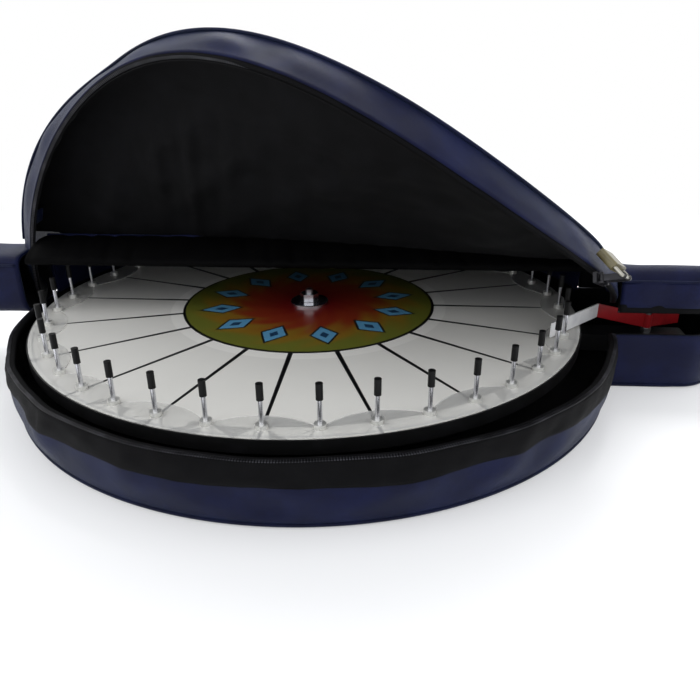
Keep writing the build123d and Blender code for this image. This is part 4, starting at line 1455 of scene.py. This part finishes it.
    def build_lining(self) -> None:
        """Slack lining of the panel and the band, in folds."""
        half = self.panel_half - 0.004
        x = np.linspace(-half, half, 230)
        edge = -np.sqrt((self.radius - 0.006) ** 2 - x**2)
        rise = self.top - self.mouth - 0.0055
        root = self.fold.y - math.sqrt((self.tail_radius - 0.0035) ** 2 - rise**2)
        steep = np.clip((0.05 - x) / 0.35, 0, 1)
        rows = []
        for share in np.linspace(0.0, 1.0, 64):
            y = edge + (root - edge) * share
            mid = np.sin(math.pi * np.clip(share, 0.0, 1.0)) ** 0.6
            upright = crease(x, y, seed=61, spacing=0.062, heading=0.12, width=2.6)
            slanted = crease(x, y, seed=63, spacing=0.085, heading=0.95, width=2.2)
            over_pegs = np.clip(np.abs(off_pegs(x, y)) / 0.05 - 0.2, 0.0, 1.0)
            folds = 0.0150 * (upright * steep + slanted * (1 - steep)) * mid * over_pegs
            fine = 0.0016 * (1 + ripple(x, y, seed=65, scale=0.05)) * mid * over_pegs
            dip = 0.014 * np.exp(-(y - edge) / 0.014)
            height = self.top - 0.0062 - dip - folds - fine + self.slack(x, y) * mid
            rows.append(np.stack([x, y, height], -1))
        grid = self.drape(np.array(rows))
        lining = cloth_shell("lid_lining_cloth", grid, self.finishes["black_lining"], thickness=0.0011)
        settle(lining, self.fold, "black_lining", *self.nodes("lining"))
        band = self.band(self.mouth + 0.0036, self.top - 0.018, 10, self.lining_reach)
        wall = cloth_shell("lid_band_lining_cloth", band, self.finishes["black_lining"], thickness=0.0010)
        settle(wall, self.fold, "black_lining")

    def build_rim(self) -> None:
        """Zip tape and teeth along the free edge."""
        grid = self.band(self.mouth + 0.0032, self.mouth + self.tape + 0.006, 6, self.tape_reach)
        tape = cloth_shell("lid_tape_band", grid, self.finishes["black_zip_tape"], thickness=0.0052)
        settle(tape, self.fold, "black_zip_tape", *self.nodes("zip_tape"))
        path = round_row(self.radius - 0.0016, self.rim_turns(), self.mouth + 0.0040)
        teeth = ToothRow(height=0.0012).lay("lid_zip_teeth", path, self.finishes["zip_metal"])
        reshape(teeth, self.drape)
        settle(teeth, self.fold, "zip_metal")


@dataclass
class LongArm:
    """Upper shell of the long arm, hinged along its back edge."""

    finishes: Finishes
    plan: BagPlan = field(default_factory=BagPlan)
    mouth: float = MOUTH
    top: float = TOP
    opening: float = math.radians(8.0)
    gap: float = 0.4268
    tape: float = 0.010
    bend: float = 0.020
    sag: float = 0.50
    spine_end: float = 0.515
    inset: float = 0.0062
    spacing: float = 0.005

    def open_up(self, points: Array) -> Array:
        """Let the back of the closed arm sag, then turn its points about its back edge.

        Args:
            points: Array (..., 3) drawn on the closed arm.

        Returns:
            The opened points, in the same shape.
        """
        sag = self.sag * smooth((points[..., 1] + 0.09) / 0.16) * smooth((points[..., 0] - 0.415) / 0.04)
        dy, dz = points[..., 1] - self.plan.arm_half, (points[..., 2] - self.mouth) * (1.0 - sag)
        out = points.copy()
        out[..., 1] = self.plan.arm_half + dy * math.cos(self.opening) + dz * math.sin(self.opening)
        out[..., 2] = self.mouth - dy * math.sin(self.opening) + dz * math.cos(self.opening)
        return out

    def rim(self) -> tuple[Array, Array]:
        """Outline of the arm outside the round part, from front to back.

        Returns:
            The points and their outward normals, both of shape (n, 2).
        """
        points, normals = self.plan.outline(self.spacing)
        clear = np.linalg.norm(points, axis=1) > self.gap
        arm = (points[:, 0] > self.plan.root - 0.001) & clear
        return points[arm], normals[arm]

    def spine(self, points: Array) -> Array:
        """Middle line of the top, one point for each of the outline."""
        inner_x = np.sqrt(self.gap**2 - np.minimum(np.abs(points[:, 1]), self.plan.arm_half) ** 2)
        return np.column_stack([np.clip(points[:, 0], inner_x, self.spine_end), points[:, 1] * 0.0])

    def build(self) -> None:
        """Make every piece of the arm's upper shell."""
        self.build_cover()
        self.build_tape()
        self.build_lining()
        self.build_seams()

    def build_cover(self) -> None:
        """Padded side wall and top."""
        points, normals = self.rim()
        along = np.arange(len(points)) * self.spacing
        rows = []
        for height in np.linspace(self.mouth + self.tape, self.top - self.bend, 7):
            share = (height - self.mouth) / (self.top - self.mouth)
            waves = 0.0014 * ripple(along, along * 0 + height, seed=81, scale=0.08)
            puff = 0.0020 * math.sin(math.pi * share) + waves
            rows.append(at_height(points + normals * puff[:, None], height))
        for turn in np.linspace(0.0, math.pi / 2, 7):
            height = self.top - 0.0008 - self.bend * (1 - math.sin(turn))
            rows.append(at_height(points - normals * self.bend * (1 - math.cos(turn)), height))
        spine = self.spine(points)
        ring = rows[-1][:, :2]
        for share in (0.15, 0.35, 0.6, 0.85, 1.0):
            flat = ring * (1 - share) + spine * share
            crown = 0.0045 * math.sin(math.pi / 2 * share)
            slack = 0.0030 * ripple(flat[:, 0], flat[:, 1], seed=83, scale=0.09) * share
            rows.append(at_height(flat, self.top - 0.0008 + crown * 0.4 + slack - 0.003 * share))
        grid = self.open_up(np.array(rows))
        shell = cloth_shell("arm_top_cloth", grid, self.finishes["navy_cloth"], thickness=0.0036)
        settle(shell, Body.ARM, "navy_cloth", "arm_cover")

    def build_tape(self) -> None:
        """Zip tape along the lower edge."""
        points, normals = self.rim()
        heights = np.linspace(self.mouth + 0.0026, self.mouth + self.tape + 0.004, 4)
        grid = np.array([at_height(points + normals * 0.0010, height) for height in heights])
        tape = cloth_shell("arm_tape_band", self.open_up(grid), self.finishes["black_zip_tape"],
                           thickness=0.0050)
        settle(tape, Body.ARM, "black_zip_tape", "arm_zip_tape")

    def build_lining(self) -> None:
        """Slack lining of the wall and the top."""
        points, normals = self.rim()
        heights = np.linspace(self.mouth + 0.0012, self.top - 0.026, 8)
        rows = [at_height(points - normals * self.inset, height) for height in heights]
        for turn in np.linspace(0.3, math.pi / 2, 4):
            height = self.top - 0.0070 - self.bend * (1 - math.sin(turn))
            rows.append(at_height(points - normals * (self.inset + self.bend * (1 - math.cos(turn))), height))
        spine = self.spine(points)
        ring = rows[-1][:, :2]
        for share in (0.3, 0.65, 1.0):
            flat = ring * (1 - share) + spine * share
            folds = 0.004 * crease(flat[:, 0], flat[:, 1], seed=85, spacing=0.05, heading=0.4)
            rows.append(at_height(flat, self.top - 0.0085 - folds))
        grid = np.array(rows)
        lining = cloth_shell("arm_lining_cloth", self.open_up(grid), self.finishes["black_lining"],
                             thickness=0.0010)
        settle(lining, Body.ARM, "black_lining", "arm_lining")

    def build_seams(self) -> None:
        """Piping along the upper seam, and the zip's teeth."""
        points, normals = self.rim()
        path = self.open_up(at_height(points + normals * 0.0012, self.top - self.bend))
        cord = tube("arm_piping_cord", path, PIPING_RADIUS, self.finishes["navy_piping"], closed=False)
        settle(cord, Body.ARM, "navy_piping", "arm_piping")
        path = self.open_up(at_height(points - normals * 0.0015, self.mouth + 0.0034))
        teeth = ToothRow(height=0.0012).lay("arm_zip_teeth", path, self.finishes["zip_metal"])
        settle(teeth, Body.ARM, "zip_metal")


@dataclass
class Sleeve:
    """Short arm: a soft closed sleeve that stands off the floor."""

    finishes: Finishes
    front: float = -0.055
    back: float = 0.045
    bottom: float = 0.072
    top: float = 0.166
    reach: float = 0.575
    root: float = 0.4262
    end_depth: float = 0.016
    squareness: float = 0.42
    seam_height: float = 0.151
    seam_bend: float = 0.028

    def section(self, x: float, inset: float, count: int = 72) -> Array:
        """Rounded section of the sleeve.

        Args:
            x: Distance from the bag's middle, in metres.
            inset: How far it lies inside the sleeve's outer size.
            count: Number of points.

        Returns:
            The points (count, 3) around it.
        """
        half_y, half_z = (self.back - self.front) / 2 - inset, (self.top - self.bottom) / 2 - inset
        turn = np.linspace(0, 2 * math.pi, count, endpoint=False)
        y = half_y * np.sign(np.cos(turn)) * np.abs(np.cos(turn)) ** self.squareness
        z = half_z * np.sign(np.sin(turn)) * np.abs(np.sin(turn)) ** self.squareness
        slack = 1.0 - 0.02 * (1 + ripple(turn * 0.05, turn * 0 + x, seed=91, scale=0.09))
        middle = (self.back + self.front) / 2
        level = (self.top + self.bottom) / 2
        return np.stack([np.full(count, -x), middle + y * slack, level + z * slack], -1)

    def build(self) -> None:
        """Make the sleeve, its lining and its piping."""
        self.build_shell()
        self.build_lining()
        self.build_piping()

    def build_shell(self) -> None:
        """Padded sleeve with its closed end."""
        straight = self.reach - self.end_depth
        rows = [self.section(x, 0.0006) for x in np.linspace(self.root, straight, 18)]
        for turn in np.linspace(0.3, math.pi / 2, 5):
            inset = 0.0006 + 0.015 * (1 - math.cos(turn))
            rows.append(self.section(straight + 0.0155 * math.sin(turn), inset))
        last = rows[-1]
        middle = last.mean(0)
        rows += [last * (1 - share) + middle * share for share in (0.3, 0.6, 0.9, 0.995)]
        grid = np.array(rows)[:, ::-1]
        shell = cloth_shell("sleeve_cloth", grid, self.finishes["navy_cloth"], thickness=0.0036, wrap=True)
        settle(shell, Body.BAG, "navy_cloth", "sleeve")

    def build_lining(self) -> None:
        """Lining of the sleeve."""
        rows = [self.section(x, 0.0055) for x in np.linspace(self.reach - 0.012, self.root + 0.001, 14)]
        end = rows[0]
        caps = [end * (1 - share) + end.mean(0) * share for share in (0.995, 0.6, 0.25)]
        inner = np.array(caps + rows)[:, ::-1]
        lining = cloth_shell("sleeve_lining_cloth", inner, self.finishes["black_lining"], thickness=0.0010,
                             wrap=True, side=Side.OUTWARD)
        settle(lining, Body.BAG, "black_lining", "sleeve_lining")

    def build_piping(self) -> None:
        """Piping along the front of the sleeve, round its end and back."""
        straight = self.reach - 0.03
        x = np.linspace(self.root + 0.004, straight, 24)
        front = at_height(np.column_stack([-x, np.full_like(x, self.front + 0.0022)]), self.seam_height)
        turn = np.linspace(-math.pi / 2, 0, 8)[1:]
        bend = at_height(np.column_stack([-straight - self.seam_bend * np.cos(turn),
                                          self.front + 0.030 + self.seam_bend * np.sin(turn)]),
                         self.seam_height)
        half = np.concatenate([front, bend])
        other = half[::-1] * (1, -1, 1) + (0, self.front + self.back, 0)
        cord = tube("sleeve_piping_cord", np.concatenate([half, other]), PIPING_RADIUS,
                    self.finishes["navy_piping"], closed=False)
        settle(cord, Body.BAG, "navy_piping", "bag_piping")


@dataclass
class PullLoop:
    """Small folded cloth tab on the lid's band."""

    finishes: Finishes
    fold: FoldTwist = field(default_factory=FoldTwist)
    angle: float = math.radians(-160.0)
    radius: float = 0.4275
    width: float = 0.020
    low: float = 0.102
    length: float = 0.028
    thickness: float = 0.0022

    def build(self) -> None:
        """Make the tab as a folded strip."""
        out = np.array([math.cos(self.angle), math.sin(self.angle), 0.0])
        side = np.array([-math.sin(self.angle), math.cos(self.angle), 0.0])
        across = np.linspace(-self.width / 2, self.width / 2, 8)[:, None]
        rows = []
        for share in np.linspace(0.0, 1.0, 12):
            lift = 0.0028 + 0.0020 * math.sin(math.pi * share)
            point = out * (self.radius + lift) + side * across
            point[:, 2] = self.low + self.length * share
            rows.append(point)
        grid = self.fold.open_up(np.array(rows))
        tab = cloth_shell("cloth_pull_loop", grid, self.finishes["navy_cloth"], thickness=self.thickness)
        settle(tab, self.fold, "navy_cloth", "cloth_tab")


# room, light and camera


@dataclass(frozen=True)
class Studio:
    """Plain pale floor, soft lamps and the camera at the photograph's angle."""

    camera_at: Point = (0.1038, -0.9273, 0.4194)
    camera_turn: Point = (math.radians(65.93), math.radians(0.2), math.radians(3.15))
    lens: float = 33.28
    floor_half: float = 9.0
    floor_near: float = 0.50
    floor_far: float = 1.5
    sky: Colour = (0.95, 0.97, 1.0, 1.0)
    sky_strength: float = 1.02

    def build(self) -> None:
        """Set up the room."""
        bpy.context.scene.view_settings.view_transform = "Standard"
        self.build_floor()
        self.build_sky()
        self.lamp("key_lamp", (-1.5, -1.3, 1.9), size=1.6, power=9.0, target=(0.0, -0.1, 0.08))
        self.lamp("back_lamp", (0.3, 1.9, 2.4), size=1.8, power=86.0, target=(0.0, -0.2, 0.1))
        self.lamp("fill_lamp", (1.9, -1.3, 1.2), size=1.4, power=3.0, target=(0.0, -0.1, 0.1))
        self.build_camera()

    def build_floor(self) -> None:
        """Pale floor that runs out into the white backdrop, as the camera and gloss see it."""
        g = Graph(bpy.data.materials.new("pale_floor"))
        place = g.place()
        tone = g.blend(g.noise(place, scale=3.0), rgb(250, 250, 251), rgb(253, 253, 254))
        g.feed({"Base Color": tone, "Roughness": 0.75})
        away = g.node("VectorMath", {0: place}, operation="LENGTH").outputs["Value"]
        reach = g.math("MULTIPLY_ADD", g.step(away, self.floor_near, self.floor_far), 0.7, 0.3)
        glow = g.node("Emission", {"Color": WHITE, "Strength": 1.0})
        share = g.math("MULTIPLY", reach, g.seen())
        mixed = g.node("MixShader", {0: share, 1: g.shader.outputs[0], 2: glow.outputs[0]})
        g.put(g.output.inputs["Surface"], mixed.outputs[0])
        half = self.floor_half
        corners = np.array([[-half, -half, 0], [half, -half, 0], [half, half, 0], [-half, half, 0]])
        build_object("studio_floor", corners, [(0, 1, 2, 3)], None, g.holder)

    def build_sky(self) -> None:
        """Even light from all round, with a white backdrop for the camera and gloss."""
        g = Graph(bpy.data.worlds.new("studio_world"))
        bpy.context.scene.world = g.holder
        g.feed({"Color": self.sky, "Strength": self.sky_strength})
        white = g.node("Background", {"Color": WHITE, "Strength": 1.0})
        mixed = g.node("MixShader", {0: g.seen(), 1: g.shader.outputs[0], 2: white.outputs[0]})
        g.put(g.output.inputs["Surface"], mixed.outputs[0])

    def build_camera(self) -> None:
        """Camera at the photograph's place and angle."""
        camera = bpy.data.cameras.new("photo_camera")
        camera.lens = self.lens
        camera.sensor_width = 36.0
        camera.clip_start = 0.01
        holder = bpy.data.objects.new("photo_camera", camera)
        holder.location = self.camera_at
        holder.rotation_euler = self.camera_turn
        bpy.context.scene.collection.objects.link(holder)
        bpy.context.scene.camera = holder

    def lamp(self, name: str, place: Point, size: float, power: float, target: Point) -> None:
        """Add a square soft lamp that points at a target.

        Args:
            name: Name of the lamp.
            place: Where it stands, in metres.
            size: Its side.
            power: Its power, in watts.
            target: The point that it faces.
        """
        light = bpy.data.lights.new(name, "AREA")
        light.energy = power
        light.size = size
        holder = bpy.data.objects.new(name, light)
        holder.location = place
        holder.rotation_euler = (Vector(target) - Vector(place)).to_track_quat("-Z", "Y").to_euler()
        bpy.context.scene.collection.objects.link(holder)


def main() -> None:
    """Build the room and every piece, and report them."""
    logging.basicConfig(level=logging.INFO)
    finishes = Finishes()
    finishes.dress_nodes()
    for part in (Base(finishes), RearTop(finishes), Lid(finishes), LongArm(finishes), Sleeve(finishes),
                 PullLoop(finishes), Studio()):
        part.build()
        LOG.info("built %s", type(part).__name__)


if __name__ == "__main__":
    main()
